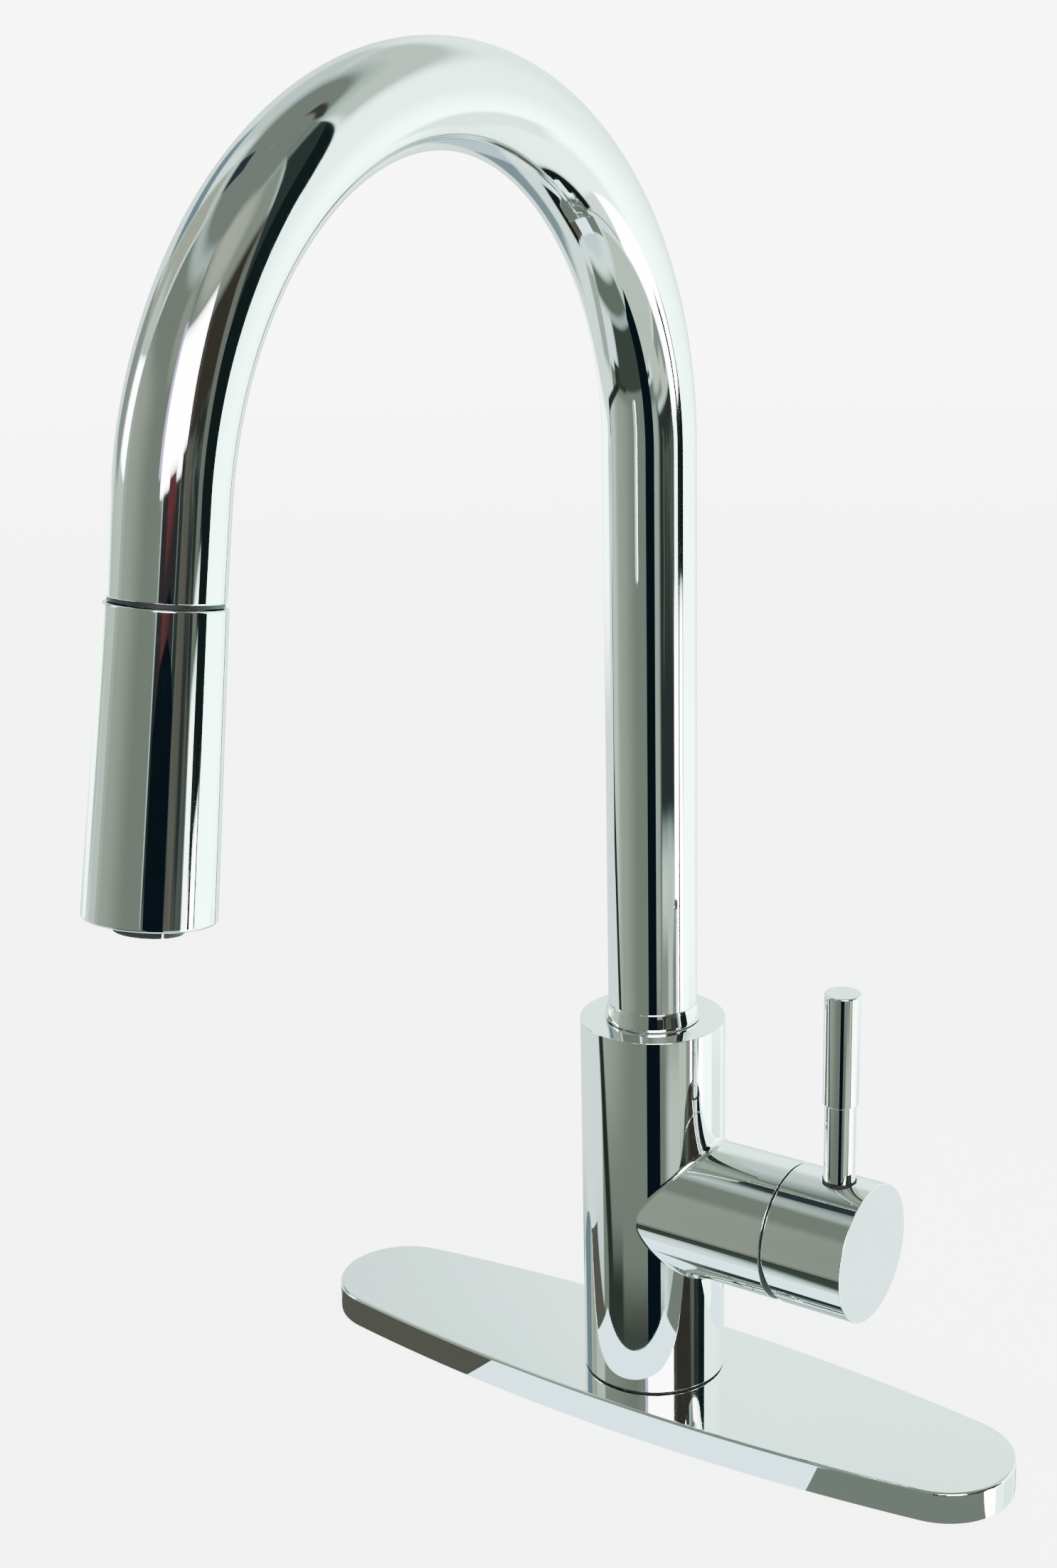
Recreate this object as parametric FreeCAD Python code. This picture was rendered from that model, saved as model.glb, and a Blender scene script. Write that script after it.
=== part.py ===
import FreeCAD
import Part
import math
import os

# Single-handle pull-down kitchen faucet on a three-hole deck plate. Millimetres, +Z up.
# The origin is on the body's axis at deck level. +X is the handle side, -Y the front, where the spout points.

# ---------------------------------------------------------------- driving dimensions
PLATE_LENGTH = 254.0          # deck plate, along X
PLATE_WIDTH = 62.0
PLATE_HEIGHT = 10.5
PLATE_END_RADIUS = 22.8       # small end arcs; the long sides are large bowed arcs
PLATE_WALL = 2.6
PLATE_EDGE = 0.9              # rounding of the top edge
SHANK_CLEARANCE = 0.8         # play between the shank and the holes of the plate and gasket

BODY_RADIUS = 23.0
BODY_TOP = 133.0
EDGE_BREAK = 0.35             # the small chamfer of turned chrome edges
BASE_SEAL_HEIGHT = 0.6
BODY_BOTTOM = PLATE_HEIGHT + BASE_SEAL_HEIGHT

VALVE_Z = 71.5                # height of the horizontal valve axis
BOSS_RADIUS = 21.9
BOSS_END = 51.2
HUB_START = 51.9
HUB_END = 79.0
LIFT_ANGLE = 11.0             # relief of the hub's lower back, which frees the lift
PIVOT_X = 36.0                # the stem's pin

LEVER_X = 67.2
LEVER_STEM_RADIUS = 4.95
LEVER_GRIP_RADIUS = 5.6
LEVER_STEP_Z = 119.0
LEVER_TOP_Z = 155.0

TUBE_RADIUS = 14.0            # spout tube
TUBE_BORE = 12.5
COLUMN_TOP = 314.5
ARCH_RADIUS = 103.5
ARCH_SWEEP = 170.3            # degrees; the outlet leans 9.7 degrees forward
LEG_LENGTH = 22.6
RING_TOP_Z = 138.6            # flared swivel ring under the tube
RING_TOP_RADIUS = 14.3
RING_FOOT_RADIUS = 15.1
SWIVEL_GAP = 0.3
BUSH_FLANGE = 0.5
BUSH_FLANGE_RADIUS = 13.7     # inside the foot of the swivel ring

HEAD_LENGTH = 75.0
HEAD_TOP_RADIUS = 14.55
HEAD_END_RADIUS = 16.1
SEAM_HEIGHT = 0.9             # black ring between the spout and the head
NOZZLE_RADIUS = 8.7
NOZZLE_PROUD = 3.0
NOZZLE_SLOT = 0.95
NOZZLE_SLOT_DEPTH = 2.7

HOSE_RADIUS = 4.5             # braided pull-down hose
SHANK_RADIUS = 16.5           # M33, through a 35 mm deck hole
SHANK_BORE = 13.8
SHANK_BOTTOM = -62.0
SHANK_TOP = 22.5
THREAD_PITCH = 1.5
DECK_THICKNESS = 20.0         # the deck that the nut is drawn up to
LINE_OFFSET = 8.6             # hose and sockets stand this far from the axis, a quarter turn apart
SOCKET_RADIUS = 5.0           # M10 x 1 supply sockets
SOCKET_DEPTH = 12.0
PORT_RADIUS = 3.0

CHAMBER_RADIUS = 17.6         # 35 mm cartridge
CHAMBER_FLOOR = 15.5
SPOUT_SOCKET_RADIUS = 11.9
SPOUT_SOCKET_FLOOR = 99.0
OVERCUT = 1.0                 # how far a cutting tool runs past the face that it opens

SWIVEL_Z = BODY_TOP + BUSH_FLANGE + SWIVEL_GAP     # underside of everything that turns with the spout


# ---------------------------------------------------------------- shape helpers
def vector(x, y, z):
    return FreeCAD.Vector(x, y, z)


def rod(radius, low, high, x=0.0, y=0.0):
    """An upright cylinder from z = low to z = high."""
    return Part.makeCylinder(radius, high - low, vector(x, y, low))


def tube(outer, inner, low, high, x=0.0, y=0.0):
    return rod(outer, low, high, x, y).cut(rod(inner, low - OVERCUT, high + OVERCUT, x, y))


def rod_x(radius, low, high, y=0.0, z=VALVE_Z):
    """A cylinder along X at the valve's height."""
    return Part.makeCylinder(radius, high - low, vector(low, y, z), vector(1, 0, 0))


def tube_x(outer, inner, low, high, y=0.0, z=VALVE_Z):
    return rod_x(outer, low, high, y, z).cut(rod_x(inner, low - OVERCUT, high + OVERCUT, y, z))


def block(x0, x1, y0, y1, z0, z1):
    return Part.makeBox(x1 - x0, y1 - y0, z1 - z0, vector(x0, y0, z0))


def turned(profile):
    """The solid that a closed outline of (radius, height) points makes when it turns about Z."""
    corners = [vector(r, 0, z) for r, z in profile]
    face = Part.Face(Part.makePolygon(corners + corners[:1]))
    return face.revolve(vector(0, 0, 0), vector(0, 0, 1), 360)


def ring_seal(centre_radius, section_radius, height):
    """An O-ring about the Z axis."""
    return Part.makeTorus(centre_radius, section_radius, vector(0, 0, height))


def to_valve(shape):
    """Lays a shape that was turned about Z along X, at the valve's height."""
    placed = shape.copy()
    placed.rotate(vector(0, 0, 0), vector(0, 1, 0), 90)
    placed.translate(vector(0, 0, VALVE_Z))
    return placed


def pipe(edges, radius):
    """A round bar along a chain of tangent edges."""
    path = Part.Wire(edges)
    start = edges[0].valueAt(edges[0].FirstParameter)
    direction = edges[0].tangentAt(edges[0].FirstParameter)
    circle = Part.Wire(Part.makeCircle(radius, start, direction))
    return path.makePipeShell([circle], True, False)


def line(a, b):
    return Part.LineSegment(a, b).toShape()


def arc(a, middle, b):
    return Part.Arc(a, middle, b).toShape()


def thread_profile(crest, low, high):
    """Outline points of ring-shaped thread grooves from low to high."""
    depth = 0.54 * THREAD_PITCH
    points = []
    turns = int((high - low) / THREAD_PITCH)
    for i in range(turns):
        z = low + i * THREAD_PITCH
        points.append((crest - depth, z))
        points.append((crest, z + 0.4 * THREAD_PITCH))
        points.append((crest, z + 0.6 * THREAD_PITCH))
    points.append((crest - depth, low + turns * THREAD_PITCH))
    return points


def set_screw(radius, length, socket_width):
    """A grub screw that stands on z = 0, with a hexagon socket in its top."""
    corner = 0.35
    body = turned([(0, 0), (radius - corner, 0), (radius, corner), (radius, length - corner),
                   (radius - corner, length), (0, length)])
    return body.cut(hexagon(socket_width, length * 0.55, length + OVERCUT))


def hexagon(across_flats, low, high):
    """An upright hexagonal prism."""
    reach = across_flats / math.sqrt(3)
    corners = [vector(reach * math.cos(math.radians(60 * i)), reach * math.sin(math.radians(60 * i)), low)
               for i in range(7)]
    return Part.Face(Part.makePolygon(corners)).extrude(vector(0, 0, high - low))


# ---------------------------------------------------------------- deck plate
def bowed_oval(inset, low, high):
    """The plate's outline, inset all round: two small end arcs and two large bowed sides."""
    end_radius = PLATE_END_RADIUS - inset
    half_width = PLATE_WIDTH / 2 - inset
    end_x = PLATE_LENGTH / 2 - PLATE_END_RADIUS
    side_radius = (end_x ** 2 + half_width ** 2 - end_radius ** 2) / (2 * (half_width - end_radius))
    side_y = side_radius - half_width
    reach = side_radius / math.hypot(end_x, side_y)
    touch_x = reach * end_x
    touch_y = reach * side_y - side_y
    tip = end_x + end_radius
    corners = [vector(touch_x, touch_y, low), vector(-touch_x, touch_y, low),
               vector(-touch_x, -touch_y, low), vector(touch_x, -touch_y, low)]
    edges = [
        arc(corners[0], vector(0, half_width, low), corners[1]),
        arc(corners[1], vector(-tip, 0, low), corners[2]),
        arc(corners[2], vector(0, -half_width, low), corners[3]),
        arc(corners[3], vector(tip, 0, low), corners[0]),
    ]
    return Part.Face(Part.Wire(edges)).extrude(vector(0, 0, high - low))


def deck_plate():
    shell = bowed_oval(0, 0, PLATE_HEIGHT)
    rim = [e for e in shell.Edges if e.BoundBox.ZMin > PLATE_HEIGHT - 0.01]
    shell = shell.makeFillet(PLATE_EDGE, rim)
    shell = shell.cut(bowed_oval(PLATE_WALL, -OVERCUT, PLATE_HEIGHT - PLATE_WALL))
    return shell.cut(rod(SHANK_RADIUS + SHANK_CLEARANCE, -OVERCUT, PLATE_HEIGHT + OVERCUT))


def plate_gasket():
    """The plastic underlay that fills the plate's hollow and seals it to the deck."""
    play = 0.2
    slab = bowed_oval(PLATE_WALL + play, 0, PLATE_HEIGHT - PLATE_WALL - play)
    return slab.cut(rod(SHANK_RADIUS + SHANK_CLEARANCE, -OVERCUT, PLATE_HEIGHT))


def base_seal():
    return tube(BODY_RADIUS - 0.6, SHANK_RADIUS + SHANK_CLEARANCE, PLATE_HEIGHT, BODY_BOTTOM)


# ---------------------------------------------------------------- body casting
VALVE_PORTS = [(LINE_OFFSET, -7.6), (-LINE_OFFSET, -7.6), (0.0, 9.5)]   # y, and height above the valve axis
SOCKETS = [(0.0, LINE_OFFSET), (0.0, -LINE_OFFSET), (LINE_OFFSET, 0.0)]  # hot, cold and mixed
SCREW_Z = 119.0
BUSH_RADIUS = 13.1
BUSH_FLOOR = 124.0
NUT_RADIUS = 19.0
NUT_FLOOR = 42.2
HOSE_BEND_RADIUS = 80.0
HOSE_BEND_TOP = 112.0


def hose_body_path(low, high):
    """From under the body, beside its axis, through a gentle S onto the axis of the spout."""
    turn = math.acos(1 - LINE_OFFSET / (2 * HOSE_BEND_RADIUS))
    bend_low = HOSE_BEND_TOP - 2 * HOSE_BEND_RADIUS * math.sin(turn)
    middle = vector(-LINE_OFFSET / 2, 0, (HOSE_BEND_TOP + bend_low) / 2)
    half_across = HOSE_BEND_RADIUS * (1 - math.cos(turn / 2))
    half_up = HOSE_BEND_RADIUS * math.sin(turn / 2)
    foot = vector(-LINE_OFFSET, 0, bend_low)
    top = vector(0, 0, HOSE_BEND_TOP)
    return [
        line(vector(-LINE_OFFSET, 0, low), foot),
        arc(foot, vector(-LINE_OFFSET + half_across, 0, bend_low + half_up), middle),
        arc(middle, vector(-half_across, 0, HOSE_BEND_TOP - half_up), top),
        line(top, vector(0, 0, high)),
    ]


def faucet_body():
    """The chrome casting: an upright body and a horizontal valve boss, bored for its valve, hose and spout."""
    shell = turned([(0, BODY_BOTTOM), (BODY_RADIUS - EDGE_BREAK, BODY_BOTTOM),
                    (BODY_RADIUS, BODY_BOTTOM + EDGE_BREAK), (BODY_RADIUS, BODY_TOP - EDGE_BREAK),
                    (BODY_RADIUS - EDGE_BREAK, BODY_TOP), (0, BODY_TOP)])
    boss = to_valve(turned([(0, 0), (BOSS_RADIUS, 0), (BOSS_RADIUS, BOSS_END - EDGE_BREAK),
                            (BOSS_RADIUS - EDGE_BREAK, BOSS_END), (0, BOSS_END)]))
    body = shell.fuse(boss)
    cuts = [
        rod_x(CHAMBER_RADIUS, CHAMBER_FLOOR, BOSS_END + OVERCUT),
        rod_x(NUT_RADIUS, NUT_FLOOR, BOSS_END + OVERCUT),
        rod(SPOUT_SOCKET_RADIUS, SPOUT_SOCKET_FLOOR, BODY_TOP + OVERCUT),
        rod(BUSH_RADIUS, BUSH_FLOOR, BODY_TOP + OVERCUT),
        rod(SHANK_RADIUS + 0.05, BODY_BOTTOM - OVERCUT, SHANK_TOP),
        pipe(hose_body_path(SHANK_TOP - OVERCUT, SPOUT_SOCKET_FLOOR + 15), HOSE_RADIUS + 0.8),
        Part.makeCylinder(SCREW_RADIUS + 0.05, BODY_RADIUS, vector(0, 0, SCREW_Z), vector(0, 1, 0)),
    ]
    for y, above in VALVE_PORTS[:2]:
        cuts.append(rod_x(PORT_RADIUS, 0, CHAMBER_FLOOR + OVERCUT, y, VALVE_Z + above))
        cuts.append(rod(PORT_RADIUS, SHANK_TOP, VALVE_Z + above, 0, y))
    mixed_z = VALVE_Z + VALVE_PORTS[2][1]
    cuts.append(rod_x(PORT_RADIUS, LINE_OFFSET, CHAMBER_FLOOR + OVERCUT, 0, mixed_z))
    cuts.append(rod(PORT_RADIUS, SHANK_TOP, mixed_z, LINE_OFFSET, 0))
    for x, y in SOCKETS:
        cuts.append(rod(SOCKET_RADIUS, SHANK_TOP - OVERCUT, SHANK_TOP + SOCKET_DEPTH, x, y))
    for tool in cuts:
        body = body.cut(tool)
    return body.removeSplitter()


# ---------------------------------------------------------------- mounting hardware under the deck
WASHER_RADIUS = 27.0
RUBBER_WASHER = 2.0
STEEL_WASHER = 1.6
NUT_HEIGHT = 11.0
NUT_FLANGE = 2.5
CLAMP_SCREW_RADIUS = 2.5
CLAMP_SCREW_CIRCLE = 21.5
SHANK_HOLE = SHANK_RADIUS + 0.3


def shank():
    """Threaded mounting shank. Its bore takes the hose and the supply lines."""
    threads = thread_profile(SHANK_RADIUS, SHANK_BOTTOM + 1, -2)
    outline = [(SHANK_BORE, SHANK_BOTTOM), (SHANK_RADIUS - 1, SHANK_BOTTOM)] + threads
    outline += [(SHANK_RADIUS, -1), (SHANK_RADIUS, SHANK_TOP), (SHANK_BORE, SHANK_TOP)]
    return turned(outline)


def rubber_washer():
    return tube(WASHER_RADIUS, SHANK_HOLE, -DECK_THICKNESS - RUBBER_WASHER, -DECK_THICKNESS)


def steel_washer():
    top = -DECK_THICKNESS - RUBBER_WASHER
    return tube(WASHER_RADIUS - 0.5, SHANK_HOLE, top - STEEL_WASHER, top)


def clamp_screw_places():
    return [(CLAMP_SCREW_CIRCLE * math.cos(math.radians(a)), CLAMP_SCREW_CIRCLE * math.sin(math.radians(a)))
            for a in (45, 165, 285)]


def mounting_nut():
    """Round nut with three screw lugs and a grooved grip."""
    top = -DECK_THICKNESS - RUBBER_WASHER - STEEL_WASHER - 1.5
    across_flats = 44.0
    nut = rod(WASHER_RADIUS - 1, top - NUT_FLANGE, top).fuse(hexagon(across_flats, top - NUT_HEIGHT, top))
    nut = nut.cut(rod(SHANK_RADIUS + 0.02, top - NUT_HEIGHT - OVERCUT, top + OVERCUT))
    for x, y in clamp_screw_places():
        nut = nut.cut(rod(CLAMP_SCREW_RADIUS + 0.05, top - NUT_HEIGHT - OVERCUT, top + OVERCUT, x, y))
    return nut.removeSplitter()


def clamp_screws():
    """The three screws that press the steel washer against the deck."""
    point = -DECK_THICKNESS - RUBBER_WASHER - STEEL_WASHER
    shaft = 16.0
    head = 3.2
    head_width = 8.0
    slot_width = 1.2
    screws = []
    for x, y in clamp_screw_places():
        under_head = point - shaft
        screw = rod(CLAMP_SCREW_RADIUS, under_head, point)
        screw = screw.fuse(hexagon(head_width, under_head - head, under_head))
        slot = block(-head_width, head_width, -slot_width / 2, slot_width / 2,
                     under_head - head - OVERCUT, under_head - head * 0.6)
        screw = screw.cut(slot)
        screw.translate(vector(x, y, 0))
        screws.append(screw)
    return Part.makeCompound(screws)


# ---------------------------------------------------------------- swivel between body and spout
ADAPTER_RADIUS = 11.83
ADAPTER_BORE = 6.6
ADAPTER_BOTTOM = 100.0
ADAPTER_TOP = SWIVEL_Z + 20.0
O_RING_HEIGHTS = (105.0, 110.5)
O_RING_SECTION = 0.95
SCREW_RADIUS = 2.5
SCREW_SOCKET = 2.5             # hexagon key, across flats


def spout_adapter():
    """Brass nipple pressed into the tube; it turns in the body on two O-rings."""
    plug = TUBE_BORE - 0.03
    groove = SPOUT_SOCKET_RADIUS - 2 * O_RING_SECTION - 0.1
    half = O_RING_SECTION + 0.15
    outline = [(ADAPTER_BORE, ADAPTER_BOTTOM), (ADAPTER_RADIUS - 0.8, ADAPTER_BOTTOM),
               (ADAPTER_RADIUS, ADAPTER_BOTTOM + 0.8)]
    for z in O_RING_HEIGHTS:
        outline += [(ADAPTER_RADIUS, z - half), (groove, z - half)]
        outline += [(groove, z + half), (ADAPTER_RADIUS, z + half)]
    waist = ADAPTER_RADIUS - 1.4
    low = SCREW_Z - 3
    high = SCREW_Z + 3
    outline += [(ADAPTER_RADIUS, low), (waist, low), (waist, high), (ADAPTER_RADIUS, high),
                (ADAPTER_RADIUS, SWIVEL_Z), (plug, SWIVEL_Z), (plug, ADAPTER_TOP), (ADAPTER_BORE, ADAPTER_TOP)]
    return turned(outline)


def spout_o_rings():
    centre = SPOUT_SOCKET_RADIUS - 0.05 - O_RING_SECTION
    return Part.makeCompound([ring_seal(centre, O_RING_SECTION, z) for z in O_RING_HEIGHTS])


def thrust_washer():
    return tube(SPOUT_SOCKET_RADIUS - 0.05, ADAPTER_BORE, SPOUT_SOCKET_FLOOR, ADAPTER_BOTTOM - SWIVEL_GAP)


def swivel_bush():
    """Flanged acetal bush in the body's mouth; its flange carries the spout."""
    bore = ADAPTER_RADIUS + 0.08
    return turned([(bore, BUSH_FLOOR), (BUSH_RADIUS - 0.03, BUSH_FLOOR), (BUSH_RADIUS - 0.03, BODY_TOP),
                   (BUSH_FLANGE_RADIUS, BODY_TOP), (BUSH_FLANGE_RADIUS, BODY_TOP + BUSH_FLANGE),
                   (bore, BODY_TOP + BUSH_FLANGE)])


def spout_screw():
    """Grub screw at the back of the body. Its tip stands in the nipple's groove and keeps the spout in."""
    tip = ADAPTER_RADIUS - 0.9
    sunk = 1.0
    screw = set_screw(SCREW_RADIUS, BODY_RADIUS - sunk - tip, SCREW_SOCKET)
    screw.rotate(vector(0, 0, 0), vector(1, 0, 0), -90)
    screw.translate(vector(0, tip, SCREW_Z))
    return screw


# ---------------------------------------------------------------- spout
LEAN = math.radians(180 - ARCH_SWEEP)
OUTLET_DIRECTION = vector(0, -math.sin(LEAN), -math.cos(LEAN))


def arch_point(degrees):
    a = math.radians(degrees)
    return vector(0, ARCH_RADIUS * (math.cos(a) - 1), COLUMN_TOP + ARCH_RADIUS * math.sin(a))


ARCH_END = arch_point(ARCH_SWEEP)
SEAM = ARCH_END + OUTLET_DIRECTION * LEG_LENGTH      # centre of the spout's open end


def spout_path(low, leg):
    """Up the column, over the arch and down the leg."""
    path = [
        line(vector(0, 0, low), vector(0, 0, COLUMN_TOP)),
        arc(vector(0, 0, COLUMN_TOP), arch_point(ARCH_SWEEP / 2), ARCH_END),
    ]
    if leg > 0:
        path.append(line(ARCH_END, ARCH_END + OUTLET_DIRECTION * leg))
    return path


def to_outlet(shape):
    """Puts a shape turned about Z on the outlet's axis. Its height becomes the distance below the seam."""
    placed = shape.copy()
    placed.rotate(vector(0, 0, 0), vector(1, 0, 0), ARCH_SWEEP)
    placed.translate(SEAM)
    return placed


def spout_tube():
    outer = pipe(spout_path(SWIVEL_Z, LEG_LENGTH), TUBE_RADIUS)
    return outer.cut(pipe(spout_path(SWIVEL_Z, LEG_LENGTH), TUBE_BORE))


def swivel_ring():
    """Flared ring that hides the joint between tube and body."""
    bore = TUBE_RADIUS + 0.03
    foot = BODY_TOP + SWIVEL_GAP
    edge = 0.2
    skirt = foot + 1.0
    throat = RING_TOP_Z - 1.2
    return turned([(bore, foot), (RING_FOOT_RADIUS - edge, foot), (RING_FOOT_RADIUS, foot + edge),
                   (RING_FOOT_RADIUS, skirt), (RING_TOP_RADIUS + 0.15, throat),
                   (RING_TOP_RADIUS, RING_TOP_Z), (bore, RING_TOP_Z)])


COLLAR_BORE = 10.6
COLLAR_TOP = -15.9
GUIDE_TOP = -22.0


def dock_collar():
    """Black insert in the spout's end. Its flange is the dark line between the spout and the head."""
    sleeve = TUBE_BORE - 0.05
    flange = TUBE_RADIUS - 0.4
    return to_outlet(turned([(COLLAR_BORE, COLLAR_TOP), (sleeve, COLLAR_TOP), (sleeve, 0), (flange, 0),
                             (flange, SEAM_HEIGHT), (COLLAR_BORE, SEAM_HEIGHT)]))


def dock_magnet():
    return to_outlet(tube(COLLAR_BORE - 0.05, 7.6, -13.5, -9.3))


def hose_guide():
    """Smooth-mouthed ring that keeps the hose in the middle of the leg."""
    wall = TUBE_BORE - 0.05
    bore = HOSE_RADIUS + 0.6
    return to_outlet(turned([(bore, GUIDE_TOP + 2), (bore + 2.5, GUIDE_TOP), (wall, GUIDE_TOP),
                             (wall, COLLAR_TOP), (bore + 2.5, COLLAR_TOP), (bore, COLLAR_TOP - 2)]))


# ---------------------------------------------------------------- hose
FERRULE_TOP = -7.0
HOSE_BOTTOM = -58.0


def pull_hose_lower():
    """The hose inside the shank and body, below the swivel."""
    return pipe(hose_body_path(HOSE_BOTTOM, SWIVEL_Z), HOSE_RADIUS)


def pull_hose_upper():
    """The hose inside the column and arch. It turns with the spout."""
    return pipe(spout_path(SWIVEL_Z + SWIVEL_GAP, 0), HOSE_RADIUS)


def pull_hose_outlet():
    """The straight stretch in the leg, which comes out as the head is pulled."""
    return to_outlet(rod(HOSE_RADIUS, -LEG_LENGTH, FERRULE_TOP))


def hose_ferrule():
    return to_outlet(turned([(2.8, FERRULE_TOP), (5.6, FERRULE_TOP), (5.9, FERRULE_TOP + 0.5), (5.9, -4.5),
                             (5.5, -4), (5.5, -2.5), (5.9, -2), (5.9, 4.2), (5.0, 4.8), (2.8, 4.8)]))


def hose_swivel_nut():
    """Brass end of the hose, on which the head turns."""
    groove_low = 14.6
    groove_high = 16.4
    return to_outlet(turned([(2.8, 4.8), (6.6, 4.8), (7.0, 5.2), (7.0, groove_low), (5.9, groove_low),
                             (5.9, groove_high), (7.0, groove_high), (7.0, 19.4), (6.4, 20.0), (2.8, 20.0)]))


def hose_swivel_seal():
    return to_outlet(ring_seal(6.57, 0.66, 15.5))


def hose_coupler():
    """Quick-connect nipple on the hose's lower end, under the shank."""
    nipple = turned([(2.6, -80), (3.6, -80), (4.0, -79.5), (4.0, -70), (5.6, -70), (5.6, -66), (5.0, -65.5),
                     (5.0, HOSE_BOTTOM), (2.6, HOSE_BOTTOM)])
    nipple.translate(vector(-LINE_OFFSET, 0, 0))
    return nipple


# ---------------------------------------------------------------- spray head, in distances below the seam
HEAD_TOP = SEAM_HEIGHT + SWIVEL_GAP
HEAD_WALL = 1.6
END_RING_RADIUS = 13.2
END_RING_TOP = 69.5
NECK_RADIUS = 10.3
NECK_TOP = -8.2
NUT_BORE = 7.3


def head_radius(below):
    """Outside radius of the tapered shell."""
    slope = (HEAD_END_RADIUS - HEAD_TOP_RADIUS) / (HEAD_LENGTH - HEAD_TOP)
    return HEAD_TOP_RADIUS + slope * (below - HEAD_TOP)


def head_shell():
    top_break = 0.45
    end_break = 0.8
    outline = [
        (NECK_RADIUS + 0.05, HEAD_TOP), (HEAD_TOP_RADIUS - top_break, HEAD_TOP),
        (head_radius(HEAD_TOP + top_break), HEAD_TOP + top_break),
        (head_radius(HEAD_LENGTH - end_break), HEAD_LENGTH - end_break),
        (HEAD_END_RADIUS - 0.25, HEAD_LENGTH - 0.25), (HEAD_END_RADIUS - end_break, HEAD_LENGTH),
        (END_RING_RADIUS, HEAD_LENGTH), (END_RING_RADIUS, END_RING_TOP), (head_radius(65) - HEAD_WALL, 65),
        (head_radius(3) - HEAD_WALL, 3), (NECK_RADIUS + 0.05, 3),
    ]
    return to_outlet(turned(outline))


def head_end_ring():
    """Chrome ring that closes the head around the nozzle."""
    wall = END_RING_RADIUS - 0.05
    bore = NOZZLE_RADIUS + 0.15
    return to_outlet(turned([(bore, END_RING_TOP), (wall, END_RING_TOP), (wall, HEAD_LENGTH - 0.4),
                             (wall - 0.4, HEAD_LENGTH), (bore + 0.4, HEAD_LENGTH), (bore, HEAD_LENGTH - 0.4)]))


def head_waterway():
    """Plastic core: the neck that docks in the spout, the hose's socket, and the way to the nozzle."""
    flange = head_radius(56) - HEAD_WALL - 0.2
    return to_outlet(turned([
        (NUT_BORE, NECK_TOP), (NECK_RADIUS, NECK_TOP), (NECK_RADIUS, 3.1), (12.6, 3.1), (12.6, 9), (9.6, 11),
        (9.6, 52), (flange, 54), (flange, 55), (flange - 1.7, 55), (flange - 1.7, 57), (flange, 57),
        (flange, 60), (5.2, 60), (5.2, 22), (NUT_BORE, 22),
    ]))


def dock_plate():
    return to_outlet(tube(NECK_RADIUS, NUT_BORE + 0.2, NECK_TOP - 0.8, NECK_TOP))


def head_seal():
    flange = head_radius(56) - HEAD_WALL - 0.2
    return to_outlet(ring_seal(flange - 0.78, 0.9, 56))


def inlet_washer():
    """Rubber washer with a strainer, under the hose's end."""
    return to_outlet(tube(NUT_BORE - 0.05, 3.2, 20.3, 22))


def check_valve():
    return to_outlet(turned([(2.2, 26), (5.15, 26), (5.15, 28), (4.7, 28.4), (4.7, 37), (5.15, 37.4),
                             (5.15, 39), (2.2, 39), (2.2, 34), (3.4, 32.8), (3.4, 31), (2.2, 29.8)]))


def aerator_housing():
    """Black nozzle insert. Four slots in its rim take the removal key."""
    end = HEAD_LENGTH + NOZZLE_PROUD
    insert = turned([(6.4, 61), (NOZZLE_RADIUS, 61), (NOZZLE_RADIUS, end - 0.4), (NOZZLE_RADIUS - 0.4, end),
                     (7.4, end), (7.4, 64), (6.4, 64)])
    for i in range(4):
        slot = block(6.0, NOZZLE_RADIUS + OVERCUT, -NOZZLE_SLOT / 2, NOZZLE_SLOT / 2,
                     end - NOZZLE_SLOT_DEPTH, end + OVERCUT)
        slot.rotate(vector(0, 0, 0), vector(0, 0, 1), 23.6 + 90 * i)
        insert = insert.cut(slot)
    return to_outlet(insert)


def aerator_gasket():
    return to_outlet(tube(NOZZLE_RADIUS - 0.1, 5.6, 60, 61))


def aerator_core():
    """The plastic stack that mixes air into the stream."""
    core = turned([(0, 64.1), (7.3, 64.1), (7.3, 73), (0, 73)])
    holes = []
    for ring, count in ((3.0, 6), (5.4, 12)):
        for i in range(count):
            a = 2 * math.pi * i / count
            holes.append(rod(0.7, 63, 67, ring * math.cos(a), ring * math.sin(a)))
    return to_outlet(core.cut(Part.makeCompound(holes)))


def aerator_screen():
    """Perforated plate at the stream's mouth: one hole in the middle and rings of holes around it."""
    plate = turned([(0, 73.1), (7.35, 73.1), (7.35, 74.2), (6.6, 74.2), (6.6, 73.7), (0, 73.7)])
    holes = [rod(0.55, 72, 75)]
    for ring in (1, 2, 3):
        for i in range(6 * ring):
            a = math.pi * i / (3 * ring)
            holes.append(rod(0.55, 72, 75, 1.85 * ring * math.cos(a), 1.85 * ring * math.sin(a)))
    return to_outlet(plate.cut(Part.makeCompound(holes)))


# ---------------------------------------------------------------- valve cartridge
CARTRIDGE_RADIUS = 17.4
CARTRIDGE_BORE = 15.2
BASE_START = 16.0
BASE_END = 20.0
DISC_END = 23.6
MIXING_END = 26.75
CARRIER_END = 30.2
GUIDE_START = 30.5
GUIDE_END = 47.5
SHOULDER = 36.2
HOUSING_END = NUT_FLOOR
NECK = 9.3
STEM_WIDTH = 8.0
STEM_HEIGHT = 7.0
BALL_X = 29.9
BALL_RADIUS = 2.7
BALL_NECK = 2.1
PIN_RADIUS = 1.25
PIN_LENGTH = 17.0
STEM_TAIL = 3.5               # how far the square stem runs behind its pin
STEM_END = 65.0
TILT_ROOM_BELOW = 7.0         # slot for the stem's tilt
TILT_ROOM_ABOVE = 4.7
DISC_RADIUS = 11.5            # the mixing disc and its carrier
SEAL_WIDTH = 1.6
SEAL_PROUD = 0.6              # the seal's bore over the port's
SEAL_RECESS = 1.5


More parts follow.
